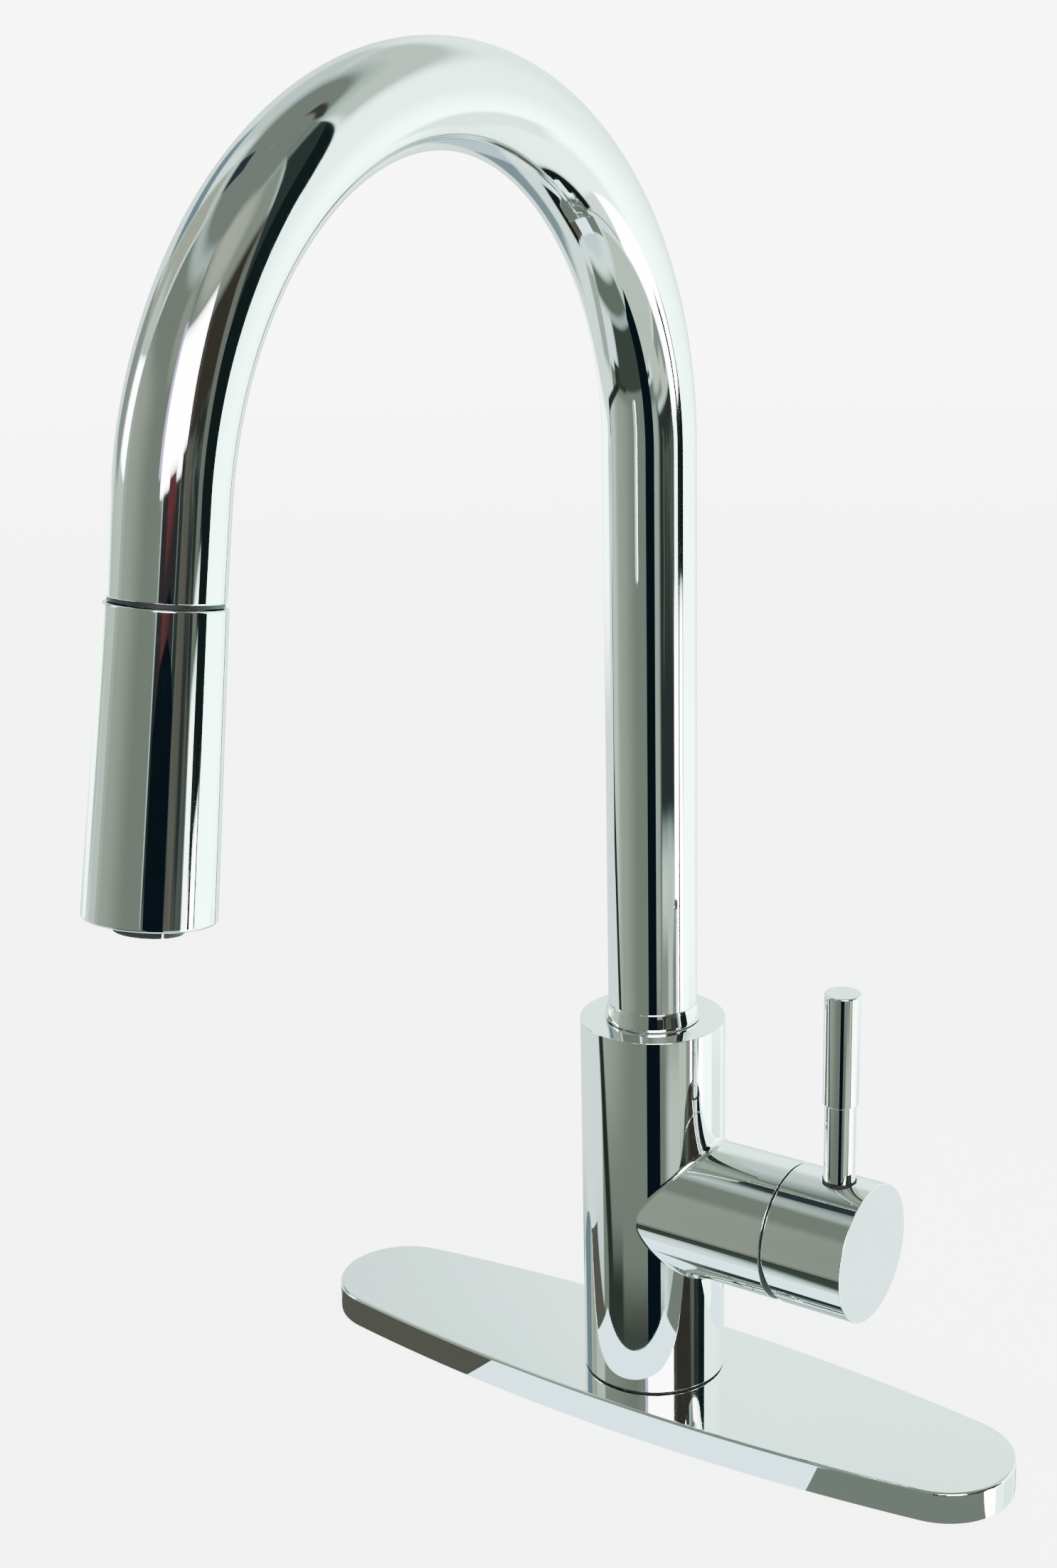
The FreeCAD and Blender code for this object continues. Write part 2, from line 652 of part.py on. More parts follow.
def cross_rod(radius, length):
    """A cylinder along the stem's pin."""
    return Part.makeCylinder(radius, length, vector(PIVOT_X, -length / 2, VALVE_Z), vector(0, 1, 0))


def port_tools(radius, low, high):
    return [rod_x(radius, low, high, y, VALVE_Z + above) for y, above in VALVE_PORTS]


def cartridge_seals():
    """Three rubber rings between the chamber's floor and the cartridge."""
    inner = PORT_RADIUS + SEAL_PROUD
    rings = [tube_x(inner + SEAL_WIDTH, inner, CHAMBER_FLOOR, BASE_START + SEAL_RECESS, y, VALVE_Z + above)
             for y, above in VALVE_PORTS]
    return Part.makeCompound(rings)


def cartridge_base():
    base = rod_x(CARTRIDGE_RADIUS, BASE_START, BASE_END)
    for tool in port_tools(PORT_RADIUS, BASE_START - OVERCUT, BASE_END + OVERCUT):
        base = base.cut(tool)
    seat = PORT_RADIUS + SEAL_PROUD + SEAL_WIDTH + 0.1
    for tool in port_tools(seat, BASE_START - OVERCUT, BASE_START + SEAL_RECESS):
        base = base.cut(tool)
    return base


def fixed_disc():
    """Lower ceramic disc, with the three ports."""
    disc = rod_x(CARTRIDGE_BORE - 0.05, BASE_END, DISC_END)
    for tool in port_tools(PORT_RADIUS, BASE_END - OVERCUT, DISC_END + OVERCUT):
        disc = disc.cut(tool)
    return disc


def cartridge_housing():
    return to_valve(turned([
        (CARTRIDGE_BORE, BASE_END), (CARTRIDGE_RADIUS, BASE_END), (CARTRIDGE_RADIUS, HOUSING_END),
        (NECK + 0.25, HOUSING_END), (NECK + 0.25, SHOULDER), (CARTRIDGE_BORE, SHOULDER),
    ]))


def cartridge_nut():
    """Brass ring nut that holds the cartridge in the boss, with four key slots."""
    end = 48.5
    bore = 11.0
    slot_depth = 2.0
    slot_half = 2.0
    slot_floor = 14.5
    nut = tube_x(NUT_RADIUS - 0.05, bore, NUT_FLOOR, end)
    for i in range(4):
        slot = block(end - slot_depth, end + OVERCUT, -slot_half, slot_half, slot_floor, NUT_RADIUS + OVERCUT)
        slot.rotate(vector(0, 0, 0), vector(1, 0, 0), 45 + 90 * i)
        slot.translate(vector(0, 0, VALVE_Z))
        nut = nut.cut(slot)
    return nut


def mixing_disc():
    """Upper ceramic disc, whose pocket joins the ports as it turns and slides."""
    film = 0.15
    pocket_radius = 6.2
    pocket_depth = 1.6
    disc = rod_x(DISC_RADIUS, DISC_END + film, MIXING_END)
    return disc.cut(rod_x(pocket_radius, DISC_END, DISC_END + pocket_depth))


def disc_carrier():
    """Plastic carrier on the mixing disc, with the socket that the stem's ball drives."""
    half = BALL_RADIUS + 0.6
    carrier = rod_x(DISC_RADIUS, MIXING_END, CARRIER_END)
    socket = block(MIXING_END - OVERCUT, CARRIER_END + OVERCUT, -half, half, VALVE_Z - half, VALVE_Z + half)
    return carrier.cut(socket)


def stem_guide():
    """Turning carriage that holds the stem's pin. The slot lets the stem tilt."""
    guide = rod_x(CARTRIDGE_BORE - 0.25, GUIDE_START, SHOULDER - 0.3).fuse(rod_x(NECK, SHOULDER - 1, GUIDE_END))
    slot = block(GUIDE_START - OVERCUT, GUIDE_END + OVERCUT, -STEM_WIDTH / 2 - 0.3, STEM_WIDTH / 2 + 0.3,
                 VALVE_Z - TILT_ROOM_BELOW, VALVE_Z + TILT_ROOM_ABOVE)
    guide = guide.cut(slot)
    bore = cross_rod(PIN_RADIUS, 2 * CARTRIDGE_BORE)
    return guide.cut(bore).removeSplitter()


def stem_pin():
    return cross_rod(PIN_RADIUS, PIN_LENGTH)


def cartridge_stem():
    """Square stem with a ball at its inner end. It tilts on the pin and carries the hub."""
    stem = block(PIVOT_X - STEM_TAIL, STEM_END, -STEM_WIDTH / 2, STEM_WIDTH / 2,
                 VALVE_Z - STEM_HEIGHT / 2, VALVE_Z + STEM_HEIGHT / 2)
    neck = rod_x(BALL_NECK, BALL_X, PIVOT_X - STEM_TAIL + OVERCUT / 2)
    ball = Part.makeSphere(BALL_RADIUS, vector(BALL_X, 0, VALVE_Z))
    hole = cross_rod(PIN_RADIUS + 0.05, STEM_WIDTH + 2 * OVERCUT)
    return stem.fuse(neck).fuse(ball).cut(hole).removeSplitter()


# ---------------------------------------------------------------- handle
HUB_TOP = VALVE_Z + BOSS_RADIUS
SPOT_Z = HUB_TOP - 0.65               # flat seat under the lever's ring
RING_SEAT_RADIUS = 5.7
SEAT_RING_HEIGHT = 0.9
STUD_RADIUS = 2.95
STUD_BOTTOM = HUB_TOP - 11.0
HUB_SCREW_X = 60.5
HUB_FRONT_BREAK = 0.25
PLUG_SUNK = 0.4
PLUG_HEIGHT = 2.6


def handle_hub():
    """Solid hub on the stem. Its lower back is cut away at a slant, so that it can tilt past the boss."""
    hub = to_valve(turned([(0, HUB_START), (BOSS_RADIUS - EDGE_BREAK, HUB_START),
                           (BOSS_RADIUS, HUB_START + EDGE_BREAK), (BOSS_RADIUS, HUB_END - HUB_FRONT_BREAK),
                           (BOSS_RADIUS - HUB_FRONT_BREAK, HUB_END), (0, HUB_END)]))
    relief = block(HUB_START - 20, HUB_START, -30, 30, -40, 0)
    relief.rotate(vector(HUB_START, 0, 0), vector(0, 1, 0), -LIFT_ANGLE)
    relief = relief.cut(block(HUB_START - 30, HUB_START + 30, -40, 40, 0, 40))
    relief.translate(vector(0, 0, VALVE_Z))
    play = 0.03
    half_width = STEM_WIDTH / 2 + play
    half_height = STEM_HEIGHT / 2 + play
    socket_end = STEM_END + 0.5
    tools = [
        relief,
        block(HUB_START - OVERCUT, socket_end, -half_width, half_width, VALVE_Z - half_height, VALVE_Z + half_height),
        rod(RING_SEAT_RADIUS, SPOT_Z, HUB_TOP + OVERCUT, LEVER_X),
        rod(STUD_RADIUS + 0.02, STUD_BOTTOM - 0.5, HUB_TOP, LEVER_X),
        rod(SCREW_RADIUS + 0.05, VALVE_Z - BOSS_RADIUS - OVERCUT, VALVE_Z, HUB_SCREW_X),
    ]
    for tool in tools:
        hub = hub.cut(tool)
    return hub


def hub_screw():
    """Grub screw from below that clamps the hub to the stem."""
    length = 9.0
    screw = set_screw(SCREW_RADIUS, length, SCREW_SOCKET)
    screw.rotate(vector(0, 0, 0), vector(1, 0, 0), 180)
    screw.translate(vector(HUB_SCREW_X, 0, VALVE_Z - STEM_HEIGHT / 2))
    return screw


def hub_plug():
    """Small cap over the grub screw."""
    low = VALVE_Z - BOSS_RADIUS + PLUG_SUNK
    return rod(SCREW_RADIUS, low, low + PLUG_HEIGHT, HUB_SCREW_X)


def lever_base_ring():
    return tube(LEVER_STEM_RADIUS + 0.35, STUD_RADIUS + 0.05, SPOT_Z, SPOT_Z + SEAT_RING_HEIGHT, LEVER_X)


def lever_rod():
    """Steel rod: a stud into the hub, and the slim stem of the lever."""
    foot = SPOT_Z + SEAT_RING_HEIGHT
    core = LEVER_STEM_RADIUS - 1.2
    rod_shape = turned([(0, STUD_BOTTOM), (STUD_RADIUS - 0.4, STUD_BOTTOM), (STUD_RADIUS, STUD_BOTTOM + 0.4),
                        (STUD_RADIUS, foot), (LEVER_STEM_RADIUS, foot), (LEVER_STEM_RADIUS, LEVER_STEP_Z),
                        (core, LEVER_STEP_Z), (core, LEVER_TOP_Z - 4), (0, LEVER_TOP_Z - 4)])
    rod_shape.translate(vector(LEVER_X, 0, 0))
    return rod_shape


def lever_grip():
    """Sleeve that thickens the lever's upper part."""
    core = LEVER_STEM_RADIUS - 1.17
    grip = turned([(core, LEVER_STEP_Z), (LEVER_GRIP_RADIUS - 0.4, LEVER_STEP_Z),
                   (LEVER_GRIP_RADIUS, LEVER_STEP_Z + 0.4), (LEVER_GRIP_RADIUS, LEVER_TOP_Z - 0.5),
                   (LEVER_GRIP_RADIUS - 0.5, LEVER_TOP_Z), (0, LEVER_TOP_Z), (0, LEVER_TOP_Z - 3.9),
                   (core, LEVER_TOP_Z - 3.9)])
    grip.translate(vector(LEVER_X, 0, 0))
    return grip


# ---------------------------------------------------------------- export
NODES = [
    deck_plate, plate_gasket, base_seal, faucet_body,
    shank, rubber_washer, steel_washer, mounting_nut, clamp_screws,
    spout_adapter, spout_o_rings, thrust_washer, swivel_bush, spout_screw,
    spout_tube, swivel_ring, dock_collar, dock_magnet, hose_guide,
    pull_hose_lower, pull_hose_upper, pull_hose_outlet, hose_ferrule, hose_swivel_nut, hose_swivel_seal,
    hose_coupler,
    head_shell, head_end_ring, head_waterway, dock_plate, head_seal, inlet_washer, check_valve,
    aerator_housing, aerator_gasket, aerator_core, aerator_screen,
    cartridge_seals, cartridge_base, fixed_disc, cartridge_housing, cartridge_nut,
    mixing_disc, disc_carrier, stem_guide, stem_pin, cartridge_stem,
    handle_hub, hub_screw, hub_plug, lever_base_ring, lever_rod, lever_grip,
]

os.makedirs("parts", exist_ok=True)
for make in NODES:
    shape = make()
    if not shape.isValid() or not shape.Solids:
        raise RuntimeError("bad shape: " + make.__name__)
    shape.exportStep("parts/" + make.__name__ + ".step")
    print(make.__name__, len(shape.Solids), round(shape.Volume, 1))
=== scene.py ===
import math

import bpy
from mathutils import Matrix, Vector


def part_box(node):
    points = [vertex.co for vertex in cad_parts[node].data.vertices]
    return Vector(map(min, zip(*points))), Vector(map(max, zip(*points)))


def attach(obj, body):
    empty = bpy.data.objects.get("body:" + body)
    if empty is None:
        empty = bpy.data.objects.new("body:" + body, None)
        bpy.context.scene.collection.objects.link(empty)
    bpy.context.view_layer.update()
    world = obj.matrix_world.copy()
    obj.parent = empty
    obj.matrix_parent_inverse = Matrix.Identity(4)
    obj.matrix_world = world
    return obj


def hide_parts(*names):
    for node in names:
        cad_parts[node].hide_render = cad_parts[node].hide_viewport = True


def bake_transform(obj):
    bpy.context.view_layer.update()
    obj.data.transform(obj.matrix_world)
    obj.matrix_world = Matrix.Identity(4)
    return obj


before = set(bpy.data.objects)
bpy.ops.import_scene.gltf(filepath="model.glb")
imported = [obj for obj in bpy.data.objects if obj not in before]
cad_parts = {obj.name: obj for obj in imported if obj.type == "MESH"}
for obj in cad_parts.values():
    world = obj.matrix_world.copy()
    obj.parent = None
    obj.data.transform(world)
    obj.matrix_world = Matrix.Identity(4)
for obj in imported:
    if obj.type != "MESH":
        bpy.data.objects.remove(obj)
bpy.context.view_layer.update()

# The looks of an all-chrome pull-down kitchen faucet. Metres, +Z up, the handle on +X, the spout towards -Y.
# The chrome that shows is rebuilt with round edges and exact normals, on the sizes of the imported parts.
MM = 0.001
TURN = 2 * math.pi
SEGMENTS = 160

# ---------------------------------------------------------------- sizes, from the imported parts
BODY_LOW, BODY_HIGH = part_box("faucet_body")
BODY_RADIUS = -BODY_LOW.x
BODY_BOTTOM = BODY_LOW.z
BODY_TOP = BODY_HIGH.z
BOSS_END = BODY_HIGH.x
HUB_LOW, HUB_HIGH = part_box("handle_hub")
HUB_START = HUB_LOW.x
HUB_END = HUB_HIGH.x
BOSS_RADIUS = HUB_HIGH.y
NUT_LOW, NUT_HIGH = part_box("cartridge_nut")
VALVE_Z = (NUT_LOW.z + NUT_HIGH.z) / 2
LIFT_SLANT = math.radians(11)          # relief of the hub's lower back
SPOUT_LOW, SPOUT_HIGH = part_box("spout_tube")
TUBE_RADIUS = SPOUT_HIGH.x
TUBE_BORE = 12.5 * MM
ARCH_RADIUS = 103.5 * MM
COLUMN_TOP = SPOUT_HIGH.z - ARCH_RADIUS - TUBE_RADIUS
ARCH_SWEEP = math.radians(170.3)
LEG_LENGTH = 22.6 * MM
HOSE_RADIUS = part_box("pull_hose_outlet")[1].x
HEAD_END_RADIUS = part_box("head_shell")[1].x
HEAD_TOP_RADIUS = 14.55 * MM
HEAD_TOP = 1.2 * MM                    # distances below the seam
HEAD_LENGTH = 75.0 * MM
HEAD_WALL = 1.6 * MM
NECK_RADIUS = 10.35 * MM
END_RING_RADIUS = 13.2 * MM
END_RING_TOP = 69.5 * MM
ROD_LOW, ROD_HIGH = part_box("lever_rod")
LEVER_X = (ROD_LOW.x + ROD_HIGH.x) / 2
STEM_RADIUS = ROD_HIGH.y
GRIP_LOW, GRIP_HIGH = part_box("lever_grip")
GRIP_RADIUS = GRIP_HIGH.y
LEVER_STEP = GRIP_LOW.z
LEVER_TOP = GRIP_HIGH.z
STUD_RADIUS = 2.95 * MM                # the lever's stud in the hub
SEAT_RADIUS = 5.7 * MM
SCREW_HOLE = 2.55 * MM
SCREW_HOLE_FLOOR = 18 * MM             # from the cylinder's axis

X = Vector((1, 0, 0))
Y = Vector((0, 1, 0))
Z = Vector((0, 0, 1))
VALVE = Vector((0, 0, VALVE_Z))


# ---------------------------------------------------------------- mesh making
class Surface:
    """A mesh in the making. Every point has its own exact normal, and faces turn to agree with them."""

    def __init__(self):
        self.points = []
        self.normals = []
        self.faces = []
        self.gap_shaded = []

    def add(self, point, normal):
        self.points.append(Vector(point))
        self.normals.append(Vector(normal).normalized())
        return len(self.points) - 1

    def face(self, *corners):
        kept = [c for i, c in enumerate(corners) if c != corners[i - 1]]
        if len(kept) < 3:
            return
        p = [self.points[c] for c in kept]
        across = (p[1] - p[0]).cross(p[-1] - p[0]) + (p[-1] - p[-2]).cross(p[1] - p[-2])
        facing = sum((self.normals[c] for c in kept), Vector())
        self.faces.append(kept if across.dot(facing) >= 0 else kept[::-1])

    def strip(self, a, b, closed=True):
        """Faces between two rows of points. A row of one point is a pole."""
        count = max(len(a), len(b))
        for i in range(count if closed else count - 1):
            j = (i + 1) % count
            a0, a1 = (a[i], a[j]) if len(a) > 1 else (a[0], a[0])
            b0, b1 = (b[i], b[j]) if len(b) > 1 else (b[0], b[0])
            self.face(a0, a1, b1, b0)

    def grid(self, rows, closed=True, gaps=()):
        """Faces between many rows. gaps are (first row, last row, first column, last column) left open."""
        for i in range(len(rows) - 1):
            count = len(rows[i])
            for j in range(count if closed else count - 1):
                if any(g[0] <= i < g[1] and g[2] <= j < g[3] for g in gaps):
                    continue
                k = (j + 1) % count
                self.face(rows[i][j], rows[i][k], rows[i + 1][k], rows[i + 1][j])

    def turned(self, rows, place, segments=SEGMENTS, closed=True):
        """Turns rows of (radius, along, normal out, normal along) about an axis, which place() gives."""
        rings = []
        for radius, along, out, forward in rows:
            origin, u, v, t = place(along)
            if radius < 1e-9:
                rings.append([self.add(origin, t * forward)])
                continue
            ring = []
            for i in range(segments):
                a = TURN * i / segments
                radial = u * math.cos(a) + v * math.sin(a)
                ring.append(self.add(origin + radial * radius, radial * out + t * forward))
            rings.append(ring)
        pairs = len(rings) if closed else len(rings) - 1
        for i in range(pairs):
            a, b = rows[i], rows[(i + 1) % len(rows)]
            if math.hypot(a[0] - b[0], a[1] - b[1]) > 1e-9:
                self.strip(rings[i], rings[(i + 1) % len(rings)])

    def gap_shaded_from(self, first):
        """Marks the faces made since first: rough metal inside a joint, coloured near-black as painted shade."""
        self.gap_shaded += range(first, len(self.faces))

    def piece(self, name, material, gap_shaded=None):
        mesh = bpy.data.meshes.new(name)
        mesh.from_pydata(self.points, [], self.faces)
        mesh.polygons.foreach_set("use_smooth", [True] * len(self.faces))
        mesh.normals_split_custom_set_from_vertices(self.normals)
        mesh.materials.append(material)
        # faces inside a joint take the second material, whose near-black colour is painted shade for the gap
        if gap_shaded:
            mesh.materials.append(gap_shaded)
            for i in self.gap_shaded:
                mesh.polygons[i].material_index = 1
        made = bpy.data.objects.new(name, mesh)
        bpy.context.scene.collection.objects.link(made)
        return made


def rounded(corners, closed=True, steps=5):
    """Rows for Surface.turned() from (radius, along, rounding) corners. The solid is on the way's left."""
    rows = []
    last = len(corners) - 1
    for i, (r, z, rounding) in enumerate(corners):
        before = corners[i - 1]
        after = corners[0 if i == last else i + 1]
        way_in = Vector((r - before[0], z - before[1])).normalized()
        way_out = Vector((after[0] - r, after[1] - z)).normalized()
        if not closed and i == 0:
            way_in = way_out
        if not closed and i == last:
            way_out = way_in
        n_in = Vector((way_in.y, -way_in.x))
        n_out = Vector((way_out.y, -way_out.x))
        turn = math.atan2(way_in.x * way_out.y - way_in.y * way_out.x, way_in.dot(way_out))
        if abs(turn) < 1e-6:
            rows.append((r, z, n_in.x, n_in.y))
            continue
        if not rounding:
            rows.append((r, z, n_in.x, n_in.y))
            rows.append((r, z, n_out.x, n_out.y))
            continue
        side = math.copysign(rounding, turn)
        centre = Vector((r, z)) - way_in * rounding * math.tan(abs(turn) / 2) - n_in * side
        for k in range(steps + 1):
            a = turn * k / steps
            n = Vector((n_in.x * math.cos(a) - n_in.y * math.sin(a),
                        n_in.x * math.sin(a) + n_in.y * math.cos(a)))
            at = centre + n * side
            rows.append((at.x, at.y, n.x, n.y))
    return rows


def divided(rows, step):
    """The same rows, with more of them wherever two are further apart along the axis than step."""
    out = []
    for a, b in zip(rows, rows[1:] + rows[:1]):
        out.append(a)
        straight = a[2:] == b[2:] or abs(a[2] - b[2]) < 1e-6
        parts = max(1, math.ceil(abs(b[1] - a[1]) / step)) if straight else 1
        for k in range(1, parts):
            out.append(tuple(p + (q - p) * k / parts for p, q in zip(a, b)))
    return out


def axis(origin, u, v, t):
    """A straight axis for Surface.turned()."""
    return lambda along: (origin + t * along, u, v, t)


UPRIGHT = axis(Vector(), X, Y, Z)
LEVER_AXIS = axis(X * LEVER_X, X, Y, Z)
VALVE_AXIS = axis(VALVE, Y, Z, X)

LEAN = math.pi - ARCH_SWEEP
OUTLET = Vector((0, -math.sin(LEAN), -math.cos(LEAN)))
ARCH_CENTRE = Vector((0, -ARCH_RADIUS, COLUMN_TOP))
ARCH_END = ARCH_CENTRE + Vector((0, math.cos(ARCH_SWEEP), math.sin(ARCH_SWEEP))) * ARCH_RADIUS
SEAM = ARCH_END + OUTLET * LEG_LENGTH
OUTLET_AXIS = axis(SEAM, X, OUTLET.cross(X), OUTLET)
COLUMN_LENGTH = COLUMN_TOP - SPOUT_LOW.z
ARCH_LENGTH = ARCH_RADIUS * ARCH_SWEEP
SPOUT_LENGTH = COLUMN_LENGTH + ARCH_LENGTH + LEG_LENGTH


def spout_axis(along):
    """The spout's centre line: up the column, over the arch and down the leg."""
    if along <= COLUMN_LENGTH:
        return Z * (SPOUT_LOW.z + along), X, Y, Z
    if along >= COLUMN_LENGTH + ARCH_LENGTH:
        past = along - COLUMN_LENGTH - ARCH_LENGTH
        return ARCH_END + OUTLET * past, X, OUTLET.cross(X), OUTLET
    a = (along - COLUMN_LENGTH) / ARCH_RADIUS
    out = Vector((0, math.cos(a), math.sin(a)))
    t = Vector((0, -math.sin(a), math.cos(a)))
    return ARCH_CENTRE + out * ARCH_RADIUS, X, t.cross(X), t


def round_hole(surface, rim, origin, across, along, out, radius, centre, hole, depth_of, inner=0.0):
    """Joins a gap in a cylinder's wall to a round hole, and adds the hole's wall and floor.
    rim is the gap's points in order. depth_of is where the flat floor lies along out, from the cylinder's
    axis. The floor is left open inside the radius inner."""
    def on_wall(a, b):
        height = math.sqrt(radius ** 2 - a ** 2)
        return origin + across * a + along * b + out * height, across * a + out * height
    flat = []
    for i in rim:
        away = surface.points[i] - origin
        flat.append(Vector((away.dot(across), away.dot(along))))
    middle = Vector((0, centre))
    directions = [(f - middle).normalized() for f in flat]
    row = list(rim)
    rows_in = 6
    for k in range(1, rows_in + 1):
        inward = []
        for f, d in zip(flat, directions):
            a, b = f.lerp(middle + d * hole, k / rows_in)
            inward.append(surface.add(*on_wall(a, b)))
        surface.strip(row, inward)
        row = inward
    wall_top, wall_foot, floor, core = [], [], [], []
    for i, d in zip(row, directions):
        outward = across * d.x + along * d.y
        wall_top.append(surface.add(surface.points[i], -outward))
        foot = origin + across * d.x * hole + along * (centre + d.y * hole) + out * depth_of
        wall_foot.append(surface.add(foot, -outward))
        floor.append(surface.add(foot, out))
        if inner:
            near = origin + across * d.x * inner + along * (centre + d.y * inner) + out * depth_of
            core.append(surface.add(near, out))
    surface.strip(wall_top, wall_foot)
    surface.strip(floor, core if inner else [surface.add(origin + along * centre + out * depth_of, out)])


def rim_of(rows, first_row, last_row, first_column, last_column):
    """The points round a gap that Surface.grid() left, in order."""
    top = [rows[first_row][j] for j in range(first_column, last_column)]
    right = [rows[i][last_column] for i in range(first_row, last_row)]
    bottom = [rows[last_row][j] for j in range(last_column, first_column, -1)]
    left = [rows[i][first_column] for i in range(last_row, first_row, -1)]
    return top + right + bottom + left


# ---------------------------------------------------------------- materials
class Nodes:
    """Shorthand calls for a node tree."""

    def __init__(self, tree):
        self.tree = tree

    def node(self, kind, **settings):
        made = self.tree.nodes.new(kind)
        for key, value in settings.items():
            setattr(made, key, value)
        return made

    def link(self, output, socket):
        self.tree.links.new(output, socket)

    def math(self, operation, a, b=0.0, c=0.0):
        made = self.node("ShaderNodeMath", operation=operation)
        for socket, value in zip(made.inputs, (a, b, c)):
            if isinstance(value, (int, float)):
                socket.default_value = value
            else:
                self.link(value, socket)
        return made.outputs[0]

    def colours(self, sockets):
        return [socket for socket in sockets if socket.type == "RGBA"]


class Look(Nodes):
    """A material, with its patterns placed in object coordinates, in metres."""

    def __init__(self, name, colour, metallic=0.0, roughness=0.4):
        self.material = bpy.data.materials.new(name)
        self.material.use_nodes = True
        super().__init__(self.material.node_tree)
        self.shader = self.tree.nodes["Principled BSDF"]
        self.set("Base Color", (*colour, 1.0))
        self.set("Metallic", metallic)
        self.set("Roughness", roughness)
        self.where = self.node("ShaderNodeTexCoord").outputs["Object"]

    def set(self, socket, value):
        self.shader.inputs[socket].default_value = value

    def stretched(self, scale):
        mapping = self.node("ShaderNodeMapping")
        mapping.inputs["Scale"].default_value = scale
        self.link(self.where, mapping.inputs["Vector"])
        return mapping.outputs[0]

    def noise(self, size, detail=2.0, rough=0.5, where=None):
        """Noise whose features are about size metres across."""
        made = self.node("ShaderNodeTexNoise")
        made.inputs["Scale"].default_value = 1.0 / size
        made.inputs["Detail"].default_value = detail
        made.inputs["Roughness"].default_value = rough
        self.link(where or self.where, made.inputs["Vector"])
        return made.outputs["Fac"]

    def span(self, value, low, high, start=0.3, end=0.7):
        """Maps a value from start..end to low..high."""
        made = self.node("ShaderNodeMapRange")
        self.link(value, made.inputs["Value"])
        for socket, number in zip(("From Min", "From Max", "To Min", "To Max"), (start, end, low, high)):
            made.inputs[socket].default_value = number
        return made.outputs[0]

    def mixed(self, factor, first, second):
        made = self.node("ShaderNodeMix", data_type="RGBA")
        self.link(factor, made.inputs["Factor"])
        for socket, colour in zip(self.colours(made.inputs), (first, second)):
            socket.default_value = (*colour, 1.0)
        return self.colours(made.outputs)[0]

    def bump(self, height, distance, strength=1.0):
        made = self.node("ShaderNodeBump")
        made.inputs["Strength"].default_value = strength
        made.inputs["Distance"].default_value = distance
        self.link(height, made.inputs["Height"])
        self.link(made.outputs[0], self.shader.inputs["Normal"])

    def colour_from(self, factor, first, second):
        self.link(self.mixed(factor, first, second), self.shader.inputs["Base Color"])

    def roughness_from(self, value, low, high):
        self.link(self.span(value, low, high), self.shader.inputs["Roughness"])


def chrome(name, tint, wave):
    """Bright plating: a faint haze that varies, fine wiping marks, and polished metal's slow waviness."""
    look = Look(name, tint, metallic=1.0, roughness=0.04)
    haze = look.noise(18 * MM, detail=4.0, rough=0.6)
    look.colour_from(look.span(haze, 0.0, 1.0), [c * 0.975 for c in tint], tint)
    wiping = look.noise(2.2 * MM, detail=3.0, where=look.stretched((1.0, 1.0, 0.12)))
    smear = look.math("MULTIPLY", haze, wiping)
    look.link(look.span(smear, 0.018, 0.05, 0.12, 0.42), look.shader.inputs["Roughness"])
    look.bump(look.noise(16 * MM, detail=1.0), wave)
    return look.material


def unpolished():
    """Plating on faces inside a joint, which no polishing wheel reaches, so it is rough; its near-black colour
    is painted shade for the gap.
    """
    look = Look("dull_plating_painted_gap_shade", (0.03, 0.032, 0.033), metallic=0.5, roughness=0.6)
    clouds = look.noise(3 * MM, detail=4.0, rough=0.6)
    # the near-black colours are painted shade for the gap inside the joint
    look.colour_from(look.span(clouds, 0.0, 1.0), (0.02, 0.021, 0.022), (0.05, 0.052, 0.053))
    look.roughness_from(clouds, 0.5, 0.72)
    look.bump(look.noise(0.6 * MM, detail=2.0), 0.02 * MM)
    return look.material


def brass():
    look = Look("machined_brass", (0.72, 0.53, 0.24), metallic=1.0, roughness=0.28)
    patina = look.noise(7 * MM, detail=4.0)
    look.colour_from(look.span(patina, 0.0, 1.0), (0.6, 0.42, 0.17), (0.78, 0.6, 0.3))
    tool_marks = look.noise(0.35 * MM, detail=2.0, where=look.stretched((0.08, 0.08, 1.0)))
    look.roughness_from(tool_marks, 0.2, 0.38)
    look.bump(tool_marks, 0.02 * MM)
    return look.material


def steel(name, dark, light, grain, rough):
    """Machined or plated steel with a fine grain along its length and cloudy patches."""
    look = Look(name, light, metallic=1.0, roughness=rough)
    clouds = look.noise(5 * MM, detail=5.0, rough=0.65)
    look.colour_from(look.span(clouds, 0.0, 1.0), dark, light)
    lines = look.noise(grain, detail=2.0, where=look.stretched((1.0, 1.0, 0.06)))
    look.roughness_from(lines, rough * 0.8, rough * 1.3)
    look.bump(lines, 0.02 * MM)
    return look.material


def rubber():
    look = Look("black_rubber", (0.01, 0.01, 0.011), roughness=0.6)
    look.set("Specular IOR Level", 0.2)
    dust = look.noise(3 * MM, detail=5.0, rough=0.7)
    look.colour_from(look.span(dust, 0.0, 1.0, 0.45, 0.8), (0.006, 0.006, 0.007), (0.02, 0.02, 0.021))
    look.roughness_from(dust, 0.5, 0.72)
    look.bump(look.noise(0.25 * MM, detail=3.0), 0.03 * MM)
    return look.material


def plastic(name, dark, light, rough, grain_depth=0.02, specular=0.5):
    """Moulded plastic: a fine spark-eroded grain and a little unevenness of colour."""
    look = Look(name, light, roughness=rough)
    look.set("Specular IOR Level", specular)
    tone = look.noise(6 * MM, detail=3.0)
    look.colour_from(look.span(tone, 0.0, 1.0), dark, light)
    grain = look.noise(0.2 * MM, detail=3.0, rough=0.6)
    look.roughness_from(grain, rough * 0.85, rough * 1.2)
    look.bump(grain, grain_depth * MM)
    return look.material


